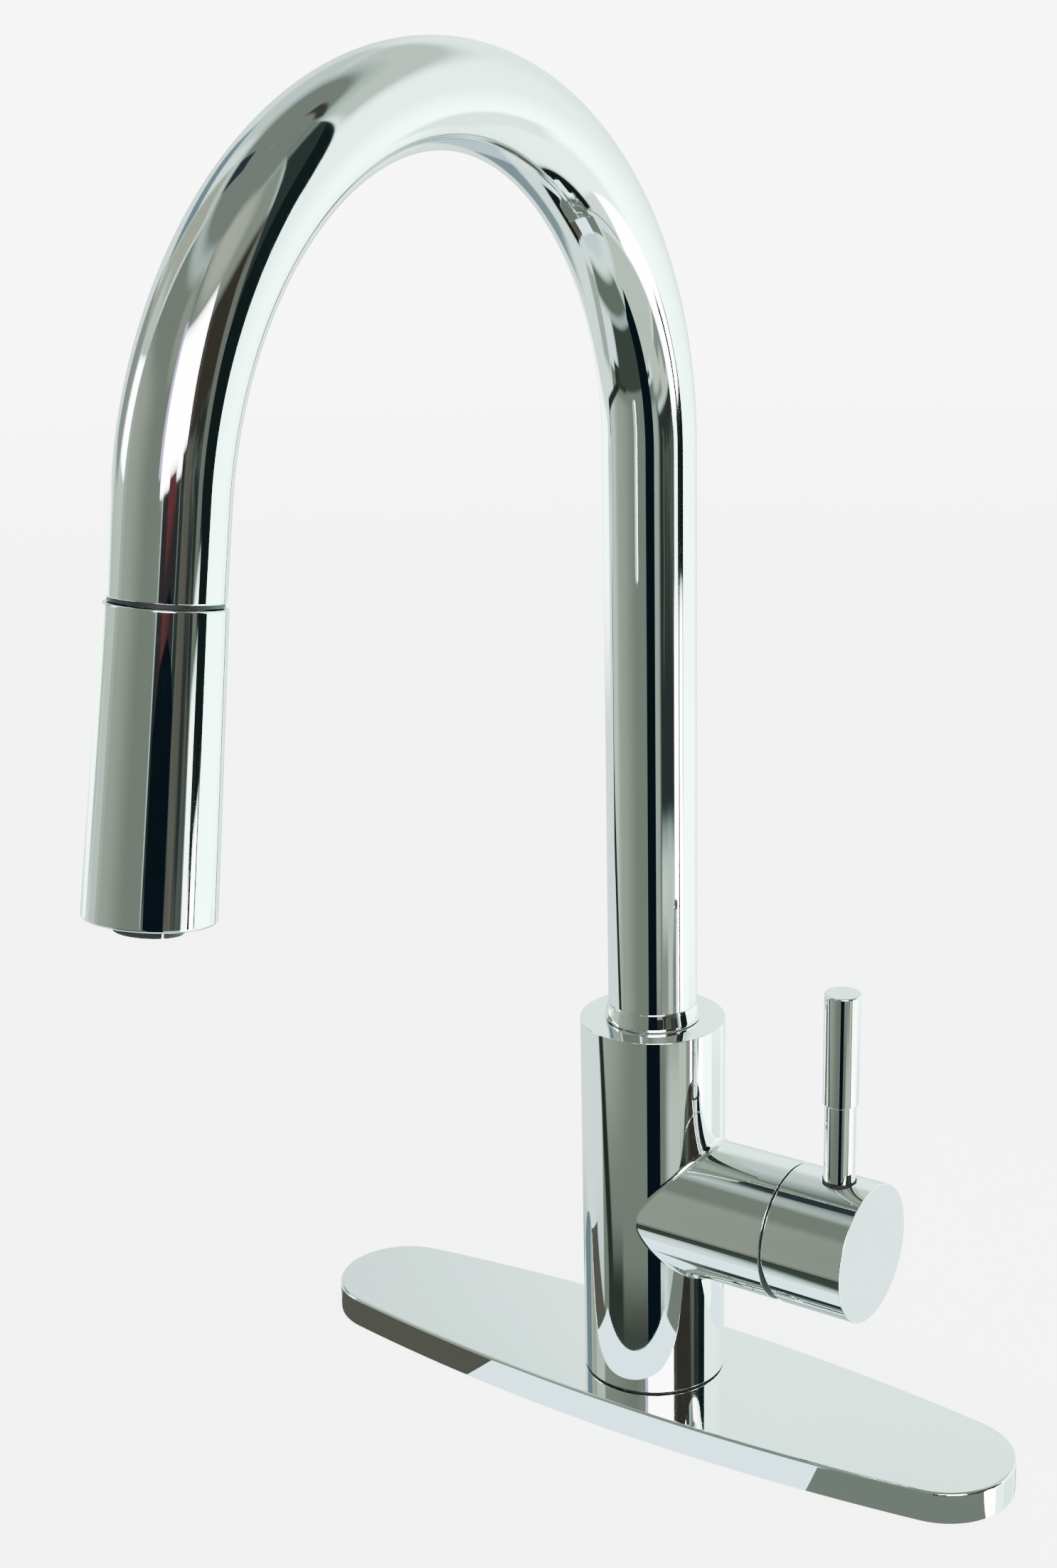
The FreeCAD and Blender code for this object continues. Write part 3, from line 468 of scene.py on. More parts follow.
def ceramic():
    look = Look("ceramic_disc", (0.86, 0.84, 0.8), roughness=0.22)
    look.set("Coat Weight", 0.3)
    specks = look.noise(0.6 * MM, detail=4.0, rough=0.7)
    look.colour_from(look.span(specks, 0.0, 1.0, 0.4, 0.75), (0.88, 0.86, 0.82), (0.76, 0.73, 0.68))
    look.roughness_from(specks, 0.16, 0.32)
    return look.material


def magnet():
    look = Look("magnet", (0.1, 0.1, 0.11), metallic=0.6, roughness=0.5)
    grit = look.noise(0.5 * MM, detail=5.0, rough=0.75)
    look.colour_from(look.span(grit, 0.0, 1.0), (0.07, 0.07, 0.075), (0.17, 0.17, 0.18))
    look.roughness_from(grit, 0.4, 0.65)
    look.bump(grit, 0.05 * MM)
    return look.material


def braid(centre_x):
    """Two sets of flat strands that cross round the hose, over and under each other."""
    look = Look("hose_braid", (0.2, 0.21, 0.23), roughness=0.45)
    look.set("Sheen Weight", 0.3)
    place = look.node("ShaderNodeSeparateXYZ")
    look.link(look.where, place.inputs[0])
    x, y, z = place.outputs
    strands = 12
    pitch = 22 * MM
    slide = look.math("ADD", look.math("MULTIPLY", y, math.sin(LEAN)),
                      look.math("MULTIPLY", z, math.cos(LEAN)))
    run = look.math("MULTIPLY", slide, TURN * strands / pitch)
    side = look.math("DIVIDE", look.math("SUBTRACT", x, centre_x), HOSE_RADIUS)
    spin = look.math("MULTIPLY", look.math("ARCSINE", side), strands)
    one_way = look.math("SINE", look.math("ADD", run, spin))
    other_way = look.math("SINE", look.math("SUBTRACT", run, spin))
    weave = look.math("MULTIPLY", one_way, other_way)
    height = look.math("ADD", look.math("ABSOLUTE", one_way), look.math("ABSOLUTE", other_way))
    look.colour_from(look.span(weave, 0.0, 1.0, -0.6, 0.6), (0.11, 0.115, 0.13), (0.33, 0.34, 0.36))
    look.roughness_from(height, 0.38, 0.6)
    look.bump(height, 0.15 * MM, 0.8)
    return look.material


def make_looks():
    plating = (0.87, 0.89, 0.885)
    return {
        "polished_chrome": chrome("polished_chrome", plating, 0.010 * MM),
        "lever_chrome": chrome("lever_chrome", (0.77, 0.78, 0.77), 0.006 * MM),
        "machined_brass": brass(),
        "stainless": steel("stainless", (0.48, 0.48, 0.47), (0.66, 0.66, 0.65), 0.4 * MM, 0.26),
        "zinc_steel": steel("zinc_steel", (0.5, 0.52, 0.53), (0.72, 0.73, 0.72), 0.9 * MM, 0.36),
        "black_rubber": rubber(),
        "black_plastic": plastic("black_plastic", (0.004, 0.004, 0.005), (0.012, 0.012, 0.014), 0.5,
                                 specular=0.15),
        "grey_plastic": plastic("grey_plastic", (0.3, 0.31, 0.32), (0.42, 0.43, 0.44), 0.42),
        "white_plastic": plastic("white_plastic", (0.74, 0.73, 0.7), (0.85, 0.85, 0.82), 0.38),
        "ceramic_disc": ceramic(),
        "magnet": magnet(),
        "hose_braid": braid(0.0),
        # near-black plating: painted shade for faces inside joints
        "unpolished": unpolished(),
    }


def dress_frame(looks):
    """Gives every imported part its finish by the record's slot."""
    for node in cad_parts.values():
        for i, old in enumerate(node.data.materials):
            node.data.materials[i] = looks[old.name.split(".")[0]]


# ---------------------------------------------------------------- chrome pieces
def finished(surface, name, body, slot, looks, *nodes):
    # faces inside a joint get the near-black painted gap shade
    made = surface.piece(name, looks[slot], looks["unpolished"] if surface.gap_shaded else None)
    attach(made, body)
    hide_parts(*nodes)
    return made


def lathe_piece(name, corners, place, body, slot, looks, *nodes):
    surface = Surface()
    surface.turned(rounded(corners), place)
    return finished(surface, name, body, slot, looks, *nodes)


def spout_skin(looks):
    surface = Surface()
    rows = rounded([
        (TUBE_RADIUS, 0, 0.2 * MM), (TUBE_RADIUS, SPOUT_LENGTH, 0.35 * MM),
        (TUBE_BORE, SPOUT_LENGTH, 0.2 * MM), (TUBE_BORE, 0, 0.2 * MM),
    ])
    surface.turned(divided(rows, 2.5 * MM), spout_axis)
    finished(surface, "spout_skin", "spout", "polished_chrome", looks, "spout_tube")


def swivel_ring(looks):
    low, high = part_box("swivel_ring")
    foot = high.x
    top = TUBE_RADIUS + 0.3 * MM
    bore = TUBE_RADIUS + 0.03 * MM
    lathe_piece("swivel_ring_skin", [
        (bore, low.z, 0), (foot, low.z, 0.25 * MM), (foot, low.z + 0.8 * MM, 0.3 * MM),
        (top + 0.15 * MM, high.z - 1.2 * MM, 2.0 * MM), (top, high.z, 0.15 * MM), (bore, high.z, 0),
    ], UPRIGHT, "spout", "polished_chrome", looks, "swivel_ring")


def head_radius(below):
    taper = (HEAD_END_RADIUS - HEAD_TOP_RADIUS) / (HEAD_LENGTH - HEAD_TOP)
    return HEAD_TOP_RADIUS + taper * (below - HEAD_TOP)


def spray_head(looks):
    inside_low = 65 * MM
    inside_high = 3 * MM
    lathe_piece("head_shell_skin", [
        (NECK_RADIUS, HEAD_TOP, 0), (HEAD_TOP_RADIUS, HEAD_TOP, 0.45 * MM),
        (HEAD_END_RADIUS, HEAD_LENGTH, 0.8 * MM), (END_RING_RADIUS, HEAD_LENGTH, 0.1 * MM),
        (END_RING_RADIUS, END_RING_TOP, 0), (head_radius(inside_low) - HEAD_WALL, inside_low, 0),
        (head_radius(inside_high) - HEAD_WALL, inside_high, 0), (NECK_RADIUS, inside_high, 0),
    ], OUTLET_AXIS, "spray_head", "polished_chrome", looks, "head_shell")
    bore = 8.85 * MM
    wall = END_RING_RADIUS - 0.05 * MM
    lathe_piece("head_end_ring_skin", [
        (bore, END_RING_TOP, 0), (wall, END_RING_TOP, 0), (wall, HEAD_LENGTH, 0.35 * MM),
        (bore, HEAD_LENGTH, 0.4 * MM),
    ], OUTLET_AXIS, "spray_head", "polished_chrome", looks, "head_end_ring")


def lever(looks):
    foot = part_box("lever_base_ring")[1].z
    core = STEM_RADIUS - 1.2 * MM
    stud_bottom = ROD_LOW.z
    core_top = LEVER_TOP - 3.9 * MM
    surface = Surface()
    surface.turned(rounded([
        (0, stud_bottom, 0), (STUD_RADIUS, stud_bottom, 0.4 * MM), (STUD_RADIUS, foot, 0),
        (STEM_RADIUS, foot, 0.3 * MM), (STEM_RADIUS, LEVER_STEP, 0), (core, LEVER_STEP, 0),
        (core, core_top, 0), (0, core_top, 0),
    ], closed=False), LEVER_AXIS, closed=False)
    finished(surface, "lever_rod_skin", "handle", "lever_chrome", looks, "lever_rod")
    surface = Surface()
    surface.turned(rounded([
        (0, core_top, 0), (core, core_top, 0), (core, LEVER_STEP, 0),
        (GRIP_RADIUS, LEVER_STEP, 0.45 * MM), (GRIP_RADIUS, LEVER_TOP, 0.5 * MM), (0, LEVER_TOP, 0),
    ], closed=False), LEVER_AXIS, closed=False)
    finished(surface, "lever_grip_skin", "handle", "lever_chrome", looks, "lever_grip")


# ---------------------------------------------------------------- body and boss
FILLET = 2.0 * MM                      # where the boss meets the body
EDGE = 0.22 * MM


def body_skin(looks):
    """Upright body and valve boss in one shell, with a small fillet between them."""
    surface = Surface()
    half = 96
    steps = 6
    reach = BODY_RADIUS + FILLET
    spread = BOSS_RADIUS + FILLET

    def ball(phi):
        """Centre of the ball that rolls along the joint, and the two directions back to the metal."""
        y = spread * math.cos(phi)
        x = math.sqrt(reach ** 2 - y ** 2)
        centre = Vector((x, y, VALVE_Z + spread * math.sin(phi)))
        return centre, Vector((x, y, 0)).normalized(), Vector((0, math.cos(phi), math.sin(phi)))

    rows = [[] for _ in range(steps + 1)]
    for j in range(2 * half):
        centre, from_body, from_boss = ball(math.pi * j / half)
        for k in range(steps + 1):
            n = from_body.slerp(from_boss, k / steps)
            rows[k].append(surface.add(centre - n * FILLET, n))
    surface.grid(rows)

    start = rows[-1]
    wall = []
    wall_rows = 8
    for k in range(1, wall_rows + 1):
        ring = []
        for j, i in enumerate(start):
            a = math.pi * j / half
            p = surface.points[i].copy()
            p.x += (BOSS_END - EDGE - p.x) * k / wall_rows
            ring.append(surface.add(p, Vector((0, math.cos(a), math.sin(a)))))
        wall.append(ring)
    surface.grid([start] + wall)
    nut_radius, nut_floor = 19.0 * MM, 42.2 * MM
    chamber_radius, chamber_floor = 17.6 * MM, 15.5 * MM
    mouth = rounded([
        (BOSS_RADIUS, BOSS_END - 2 * EDGE, 0), (BOSS_RADIUS, BOSS_END, EDGE),
        (nut_radius, BOSS_END, 0.2 * MM), (nut_radius, nut_floor, 0), (chamber_radius, nut_floor, 0),
        (chamber_radius, chamber_floor, 0), (0, chamber_floor, 0),
    ], closed=False)
    # past the polished rounding, the boss's mouth takes the near-black painted shade of the hollow
    first = len(surface.faces)
    polished_strips = 5                # round the boss's outer edge
    surface.turned(mouth[1:], VALVE_AXIS, segments=2 * half, closed=False)
    surface.gap_shaded_from(first + 2 * half * polished_strips)

    around = 96
    span_angle = ball(0)[1].to_2d()
    edge_angle = math.atan2(span_angle.y, span_angle.x)
    columns = []
    for j in range(half + 1):
        centre, from_body, _ = ball(math.pi * j / half)
        columns.append((math.atan2(from_body.y, from_body.x), centre.z - VALVE_Z))
    for j in range(1, around):
        columns.append((-edge_angle - (TURN - 2 * edge_angle) * j / around, 0.0))
    top = BODY_TOP - EDGE
    bottom = BODY_BOTTOM + EDGE
    count = 12

    def side(goal, sign):
        made = []
        for k in range(count + 1):
            row = []
            for angle, height in columns:
                n = Vector((math.cos(angle), math.sin(angle), 0))
                z = VALVE_Z + sign * height
                row.append(surface.add(n * BODY_RADIUS + Z * (z + (goal - z) * k / count), n))
            made.append(row)
        return made

    upper = side(top, 1)
    lower = side(bottom, -1)
    back = half + around - around * (math.pi / 2 - edge_angle) / (TURN - 2 * edge_angle)
    gap = (8, 11, round(back) - 4, round(back) + 4)
    surface.grid(upper, gaps=[gap])
    surface.grid(lower)
    screw_low, screw_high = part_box("spout_screw")
    screw_z = (screw_low.z + screw_high.z) / 2
    round_hole(surface, rim_of(upper, *gap), Vector(), X, Z, Y, BODY_RADIUS, screw_z, SCREW_HOLE,
               SCREW_HOLE_FLOOR)

    socket_radius, socket_floor = 13.1 * MM, 124 * MM
    passage_radius, passage_floor = 11.9 * MM, 99 * MM
    hollow_radius, hollow_roof = 16.55 * MM, 22.5 * MM
    over_top = rounded([
        (BODY_RADIUS, top - EDGE, 0), (BODY_RADIUS, BODY_TOP, EDGE), (socket_radius, BODY_TOP, 0),
        (socket_radius, socket_floor, 0), (passage_radius, socket_floor, 0),
        (passage_radius, passage_floor, 0), (0, passage_floor, 0),
    ], closed=False)
    underneath = rounded([
        (0, hollow_roof, 0), (hollow_radius, hollow_roof, 0), (hollow_radius, BODY_BOTTOM, 0),
        (BODY_RADIUS, BODY_BOTTOM, EDGE), (BODY_RADIUS, bottom + EDGE, 0),
    ], closed=False)
    for outline in (over_top[1:], underneath[:-1][::-1]):
        previous = None
        before = None
        for r, z, out, forward in outline:
            if r < 1e-9:
                ring = [surface.add(Z * z, Z * forward)]
            else:
                ring = [surface.add(Vector((math.cos(a) * r, math.sin(a) * r, z)),
                                    Vector((math.cos(a) * out, math.sin(a) * out, forward))) for a, _ in columns]
            if previous and math.hypot(r - before[0], z - before[1]) > 1e-9:
                surface.strip(previous, ring)
            previous = ring
            before = (r, z)
    finished(surface, "body_skin", "base", "polished_chrome", looks, "faucet_body")


# ---------------------------------------------------------------- hub
def hub_skin(looks):
    """The handle's hub. Its lower back slants away, its crown has the lever's seat, and its belly has the
    screw's hole."""
    surface = Surface()
    columns = 192
    steps = 5
    wall_rows = 24
    angles = [TURN * j / columns for j in range(columns)]

    def back_normal(a):
        return Vector((-math.cos(LIFT_SLANT), 0, -math.sin(LIFT_SLANT))) if math.sin(a) < -1e-6 else -X

    def edge_centre(a):
        below = max(0.0, -(BOSS_RADIUS - EDGE) * math.sin(a))
        x = HUB_START + EDGE
        if below > 0:
            x = HUB_START + (EDGE + below * math.sin(LIFT_SLANT)) / math.cos(LIFT_SLANT)
        radial = Vector((0, math.cos(a), math.sin(a)))
        return VALVE + X * x + radial * (BOSS_RADIUS - EDGE), radial

    back_edge = []
    for k in range(steps + 1):
        row = []
        for a in angles:
            centre, radial = edge_centre(a)
            n = back_normal(a).slerp(radial, k / steps)
            row.append(surface.add(centre + n * EDGE, n))
        back_edge.append(row)
    surface.grid(back_edge)
    back = [surface.add(surface.points[i], back_normal(a)) for i, a in zip(back_edge[0], angles)]
    # the hub's back face, turned into the boss, takes the near-black painted shade of the gap
    first = len(surface.faces)
    surface.strip(back, [surface.add(VALVE + X * HUB_START, -X)])
    surface.gap_shaded_from(first)

    front_round = 0.25 * MM
    front = HUB_END - front_round
    wall = [back_edge[-1]]
    for k in range(1, wall_rows + 1):
        row = []
        for i, a in zip(back_edge[-1], angles):
            p = surface.points[i].copy()
            p.x += (front - p.x) * k / wall_rows
            row.append(surface.add(p, Vector((0, math.cos(a), math.sin(a)))))
        wall.append(row)
    row_step = (front - HUB_START) / wall_rows
    seat_row = round((LEVER_X - HUB_START) / row_step)
    quarter = columns // 4
    seat_gap = (seat_row - 7, seat_row + 7, quarter - 11, quarter + 11)
    plug_low, plug_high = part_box("hub_plug")
    plug_x = (plug_low.x + plug_high.x) / 2
    belly_start = HUB_START + BOSS_RADIUS * math.tan(LIFT_SLANT)
    plug_row = round((plug_x - belly_start) / (front - belly_start) * wall_rows)
    plug_gap = (plug_row - 4, plug_row + 4, 3 * quarter - 6, 3 * quarter + 6)
    surface.grid(wall, gaps=[seat_gap, plug_gap])
    seat_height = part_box("lever_base_ring")[0].z - VALVE_Z
    round_hole(surface, rim_of(wall, *seat_gap), VALVE, Y, X, Z, BOSS_RADIUS, LEVER_X, SEAT_RADIUS,
               seat_height, STUD_RADIUS)
    round_hole(surface, rim_of(wall, *plug_gap), VALVE, Y, X, -Z, BOSS_RADIUS, plug_x, SCREW_HOLE,
               SCREW_HOLE_FLOOR)

    end_rows = rounded([(BOSS_RADIUS, front - front_round, 0), (BOSS_RADIUS, HUB_END, front_round),
                        (0, HUB_END, 0)], closed=False)
    surface.turned(end_rows[1:], VALVE_AXIS, segments=columns, closed=False)
    finished(surface, "handle_hub_skin", "handle", "polished_chrome", looks, "handle_hub")


# ---------------------------------------------------------------- deck plate
def oval(count_side=96, count_end=32):
    """Points and outward normals of the plate's outline: two end arcs and two long bowed sides."""
    low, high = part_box("deck_plate")
    end_radius = 22.8 * MM
    end_x = high.x - end_radius
    half_width = high.y
    side_radius = (end_x ** 2 + half_width ** 2 - end_radius ** 2) / (2 * (half_width - end_radius))
    side_y = side_radius - half_width
    tilt = math.atan2(end_x, side_y)
    outline = []
    for turn, flip in ((0, 1), (math.pi, -1)):
        for k in range(count_end):
            a = -math.pi / 2 + tilt + (math.pi - 2 * tilt) * k / count_end
            n = Vector((math.cos(a), math.sin(a), 0)) * flip
            outline.append((Vector((end_x, 0, 0)) * flip + n * end_radius, n))
        for k in range(count_side):
            a = math.pi / 2 - tilt + 2 * tilt * k / count_side
            n = Vector((math.cos(a), math.sin(a), 0)) * flip
            outline.append((Vector((0, -side_y, 0)) * flip + n * side_radius, n))
    return outline


def plate_skin(looks):
    top_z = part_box("deck_plate")[1].z
    wall = 2.6 * MM
    edge = 0.9 * MM
    hole = 17.3 * MM
    foot = 0.3 * MM
    under = top_z - wall
    outline = oval()
    surface = Surface()

    def ring(inset, z, out, up):
        return [surface.add(p - n * inset + Z * z, n * out + Z * up) for p, n in outline]

    def circle(z, out, up):
        rims = []
        for p, _ in outline:
            n = p.normalized()
            rims.append(surface.add(n * hole + Z * z, n * out + Z * up))
        return rims

    steps = 8
    turns = [math.pi / 2 * k / steps for k in range(steps + 1)]
    top = [ring(edge * (1 - math.cos(a)), top_z - edge * (1 - math.sin(a)), math.cos(a), math.sin(a))
           for a in turns]
    base = [ring(foot * (1 - math.cos(a)), foot * (1 - math.sin(a)), math.cos(a), -math.sin(a))
            for a in turns[::-2]]
    surface.grid(base + top)
    surface.strip(top[-1], circle(top_z, 0, 1))
    surface.strip(circle(top_z, -1, 0), circle(under, -1, 0))
    surface.strip(circle(under, 0, -1), ring(wall, under, 0, -1))
    surface.strip(ring(wall, under, -1, 0), ring(wall, 0, -1, 0))
    surface.strip(ring(wall, 0, 0, -1), base[0])
    finished(surface, "deck_plate_skin", "base", "polished_chrome", looks, "deck_plate")


# ---------------------------------------------------------------- hose that comes out with the head
def outlet_hose(looks):
    """The braided stretch in the leg. It stretches between the spout and the head's end of the hose."""
    surface = Surface()
    top = -LEG_LENGTH
    end = -7.0 * MM
    rows = 60
    outline = [(HOSE_RADIUS, top + (end - top) * k / rows, 1.0, 0.0) for k in range(rows + 1)]
    surface.turned(outline, OUTLET_AXIS, segments=64, closed=False)
    made = surface.piece("outlet_hose", looks["hose_braid"])
    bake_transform(made)
    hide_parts("pull_hose_outlet")


# ---------------------------------------------------------------- stage
STUDIO_TURN = math.radians(34.96)      # the studio faces the object's front right quarter
WHITE = 8.0                            # the pale floor and backdrop
FLOOR_RADIUS = 14.0
DOME_RADIUS = 13.5
STAGE_SEGMENTS = 96


def shown(*tone):
    """Light that shows as about these red, green and blue tones of 255 in Blender's default view."""
    return [0.213 * (min(c, 248) / (255 - min(c, 248))) ** 1.234 for c in tone]


def emission(name, colour, strength=1.0):
    material = bpy.data.materials.new(name)
    material.use_nodes = True
    nodes = material.node_tree.nodes
    nodes.clear()
    light = nodes.new("ShaderNodeEmission")
    light.inputs["Color"].default_value = (*colour, 1.0)
    light.inputs["Strength"].default_value = strength
    output = nodes.new("ShaderNodeOutputMaterial")
    material.node_tree.links.new(light.outputs[0], output.inputs["Surface"])
    return material


def stage_mesh(name, points, faces, material, seen_by):
    """A floor, backdrop or reflector. seen_by names the kinds of ray that meet it."""
    mesh = bpy.data.meshes.new(name)
    mesh.from_pydata(points, [], faces)
    mesh.materials.append(material)
    made = bpy.data.objects.new(name, mesh)
    bpy.context.scene.collection.objects.link(made)
    for kind in ("camera", "diffuse", "glossy", "transmission", "volume_scatter", "shadow"):
        setattr(made, "visible_" + kind, kind in seen_by)
    return made


def disc(radius, z):
    angles = [TURN * i / STAGE_SEGMENTS for i in range(STAGE_SEGMENTS)]
    return [(radius * math.cos(a), radius * math.sin(a), z) for a in angles]


def make_floor():
    look = Look("floor_paint", (0.84, 0.85, 0.85), roughness=0.9)
    reach = look.node("ShaderNodeVectorMath", operation="LENGTH")
    look.link(look.where, reach.inputs[0])
    far = look.span(reach.outputs["Value"], 0.0, 1.0, 0.5, 2.6)
    grain = look.noise(2 * MM, detail=3.0)
    look.link(look.mixed(far, (0.84, 0.85, 0.85), (0.0, 0.0, 0.0)), look.shader.inputs["Base Color"])
    look.set("Emission Color", (1.0, 1.0, 1.0, 1.0))
    look.link(look.span(far, 3.2, WHITE, 0.0, 1.0), look.shader.inputs["Emission Strength"])
    look.bump(grain, 0.05 * MM)
    rim = disc(FLOOR_RADIUS, 0.0)
    stage_mesh("floor", rim, [tuple(range(len(rim)))], look.material, ("camera", "diffuse", "shadow"))
    dome = []
    rings = 12
    for k in range(rings):
        a = math.pi / 2 * k / rings
        dome += disc(DOME_RADIUS * math.cos(a), DOME_RADIUS * math.sin(a) - 0.01)
    faces = []
    for lower in range(0, (rings - 1) * STAGE_SEGMENTS, STAGE_SEGMENTS):
        upper = lower + STAGE_SEGMENTS
        for i in range(STAGE_SEGMENTS):
            j = (i + 1) % STAGE_SEGMENTS
            faces.append((lower + i, lower + j, upper + j, upper + i))
    faces.append(tuple(range((rings - 1) * STAGE_SEGMENTS, rings * STAGE_SEGMENTS)))
    stage_mesh("backdrop", dome, faces, emission("backdrop_paper", (WHITE, WHITE, WHITE)), ("camera",))


def make_reflectors():
    """A dark card beside the camera, and the white sheet and dark table that the faucet stands on."""
    near_left = Vector((0.275, -0.67, 0))
    near_right = Vector((0.39, -0.42, 0))
    outline = [(0.0, -0.55), (1.0, -0.55), (1.0, 0.28), (0.85, 0.305), (0.6, 0.325), (0.25, 0.325),
               (0.0, 0.30)]
    points = [near_left.lerp(near_right, across) + Z * up for across, up in outline]
    stage_mesh("photographer_card", points, [tuple(range(len(points)))],
               emission("card_black", shown(10, 20, 27)), ("glossy",))
    sheets = [
        ("white_sheet", -0.058, 0.071, -0.068, 0.08, -0.0010, (219, 229, 231)),
        ("table_left", -0.138, 0.0, -0.062, -0.01, -0.0020, (92, 94, 85)),
        ("table_right", 0.0, 0.16, -0.062, -0.01, -0.0020, (122, 132, 124)),
    ]
    for name, x0, x1, y0, y1, z, tone in sheets:
        corners = [(x0, y0, z), (x1, y0, z), (x1, y1, z), (x0, y1, z)]
        stage_mesh(name, corners, [(0, 1, 2, 3)], emission(name + "_light", shown(*tone)), ("glossy",))


def make_light():
    data = bpy.data.lights.new("softbox", "AREA")
    data.shape = "RECTANGLE"
    data.size = 1.6
    data.size_y = 1.2
    data.energy = 95.0
    box = bpy.data.objects.new("softbox", data)
    box.location = (0.1, -0.2, 1.7)
    box.visible_camera = False
    box.visible_glossy = False
    bpy.context.scene.collection.objects.link(box)


class Surroundings(Nodes):
    """The studio that the chrome mirrors: soft-edged panels on the world, placed by direction. Degrees round
    to the right from the studio's front, where the camera stands, and degrees above the level."""

    def __init__(self, base):
        world = bpy.data.worlds.new("studio")
        bpy.context.scene.world = world
        world.use_nodes = True
        super().__init__(world.node_tree)
        where = self.node("ShaderNodeTexCoord").outputs["Generated"]
        parts = self.node("ShaderNodeSeparateXYZ")
        self.link(where, parts.inputs[0])
        x, y, z = parts.outputs
        turned = self.math("ARCTAN2", x, self.math("MULTIPLY", y, -1.0))
        self.around = self.math("DEGREES", self.math("SUBTRACT", turned, STUDIO_TURN))
        self.above = self.math("DEGREES", self.math("ARCSINE", z))
        noise = self.node("ShaderNodeTexNoise")
        noise.inputs["Scale"].default_value = 9.0
        noise.inputs["Detail"].default_value = 4.0
        self.link(where, noise.inputs["Vector"])
        self.mottle = noise.outputs["Fac"]
        self.colour = None
        self.cover(1.0, base)

    def edge(self, value, outside, inside):
        """0 before outside, 1 past inside, and smooth between them."""
        made = self.node("ShaderNodeMapRange", interpolation_type="SMOOTHSTEP")
        self.link(value, made.inputs["Value"])
        made.inputs["From Min"].default_value = outside
        made.inputs["From Max"].default_value = inside
        return made.outputs[0]

    def cover(self, mask, tone):
        made = self.node("ShaderNodeMix", data_type="RGBA")
        if isinstance(mask, float):
            made.inputs["Factor"].default_value = mask
        else:
            self.link(mask, made.inputs["Factor"])
        under, over = self.colours(made.inputs)
        if self.colour:
            self.link(self.colour, under)
        over.default_value = (*shown(*tone), 1.0)
        self.colour = self.colours(made.outputs)[0]

    def panel(self, left, right, low, high, tone, soft=3.0, slope=0.0, low_slope=0.0, strength=1.0,
              mottled=False):
        """A four-sided panel. soft is the width of its edges: one number, or left, right, low and high. slope
        and low_slope are how much its top and foot rise per degree to the right, about its middle."""
        s = [soft / 2] * 4 if isinstance(soft, (int, float)) else [side / 2 for side in soft]
        middle = (left + right) / 2
        around = self.math("WRAP", self.around, middle + 180.0, middle - 180.0)
        mask = 1.0
        if right - left < 360.0:
            mask = self.math("MULTIPLY", self.edge(around, left - s[0], left + s[0]),
                             self.edge(around, right + s[1], right - s[1]))
        for at, reach, lean in ((low, s[2], low_slope), (high, -s[3], slope)):
            above = self.above
            if lean:
                above = self.math("MULTIPLY_ADD", around, -lean, above)
                at -= lean * middle
            mask = self.math("MULTIPLY", mask, self.edge(above, at - reach, at + reach))
        if strength != 1.0:
            mask = self.math("MULTIPLY", mask, strength)
        if mottled:
            mask = self.math("MULTIPLY", mask, self.edge(self.mottle, 0.46, 0.6))
        self.cover(mask, tone)

    def glow(self, around, above, half_width, half_height, tone, strength=1.0):
        """A soft oval."""
        turned = self.math("WRAP", self.around, around + 180.0, around - 180.0)
        across = self.math("DIVIDE", self.math("SUBTRACT", turned, around), half_width)
        up = self.math("DIVIDE", self.math("SUBTRACT", self.above, above), half_height)
        away = self.math("ADD", self.math("MULTIPLY", across, across), self.math("MULTIPLY", up, up))
        mask = self.edge(away, 1.0, 0.1)
        self.cover(self.math("MULTIPLY", mask, strength) if strength != 1.0 else mask, tone)

    def finish(self):
        background = self.tree.nodes["Background"]
        self.link(self.colour, background.inputs["Color"])


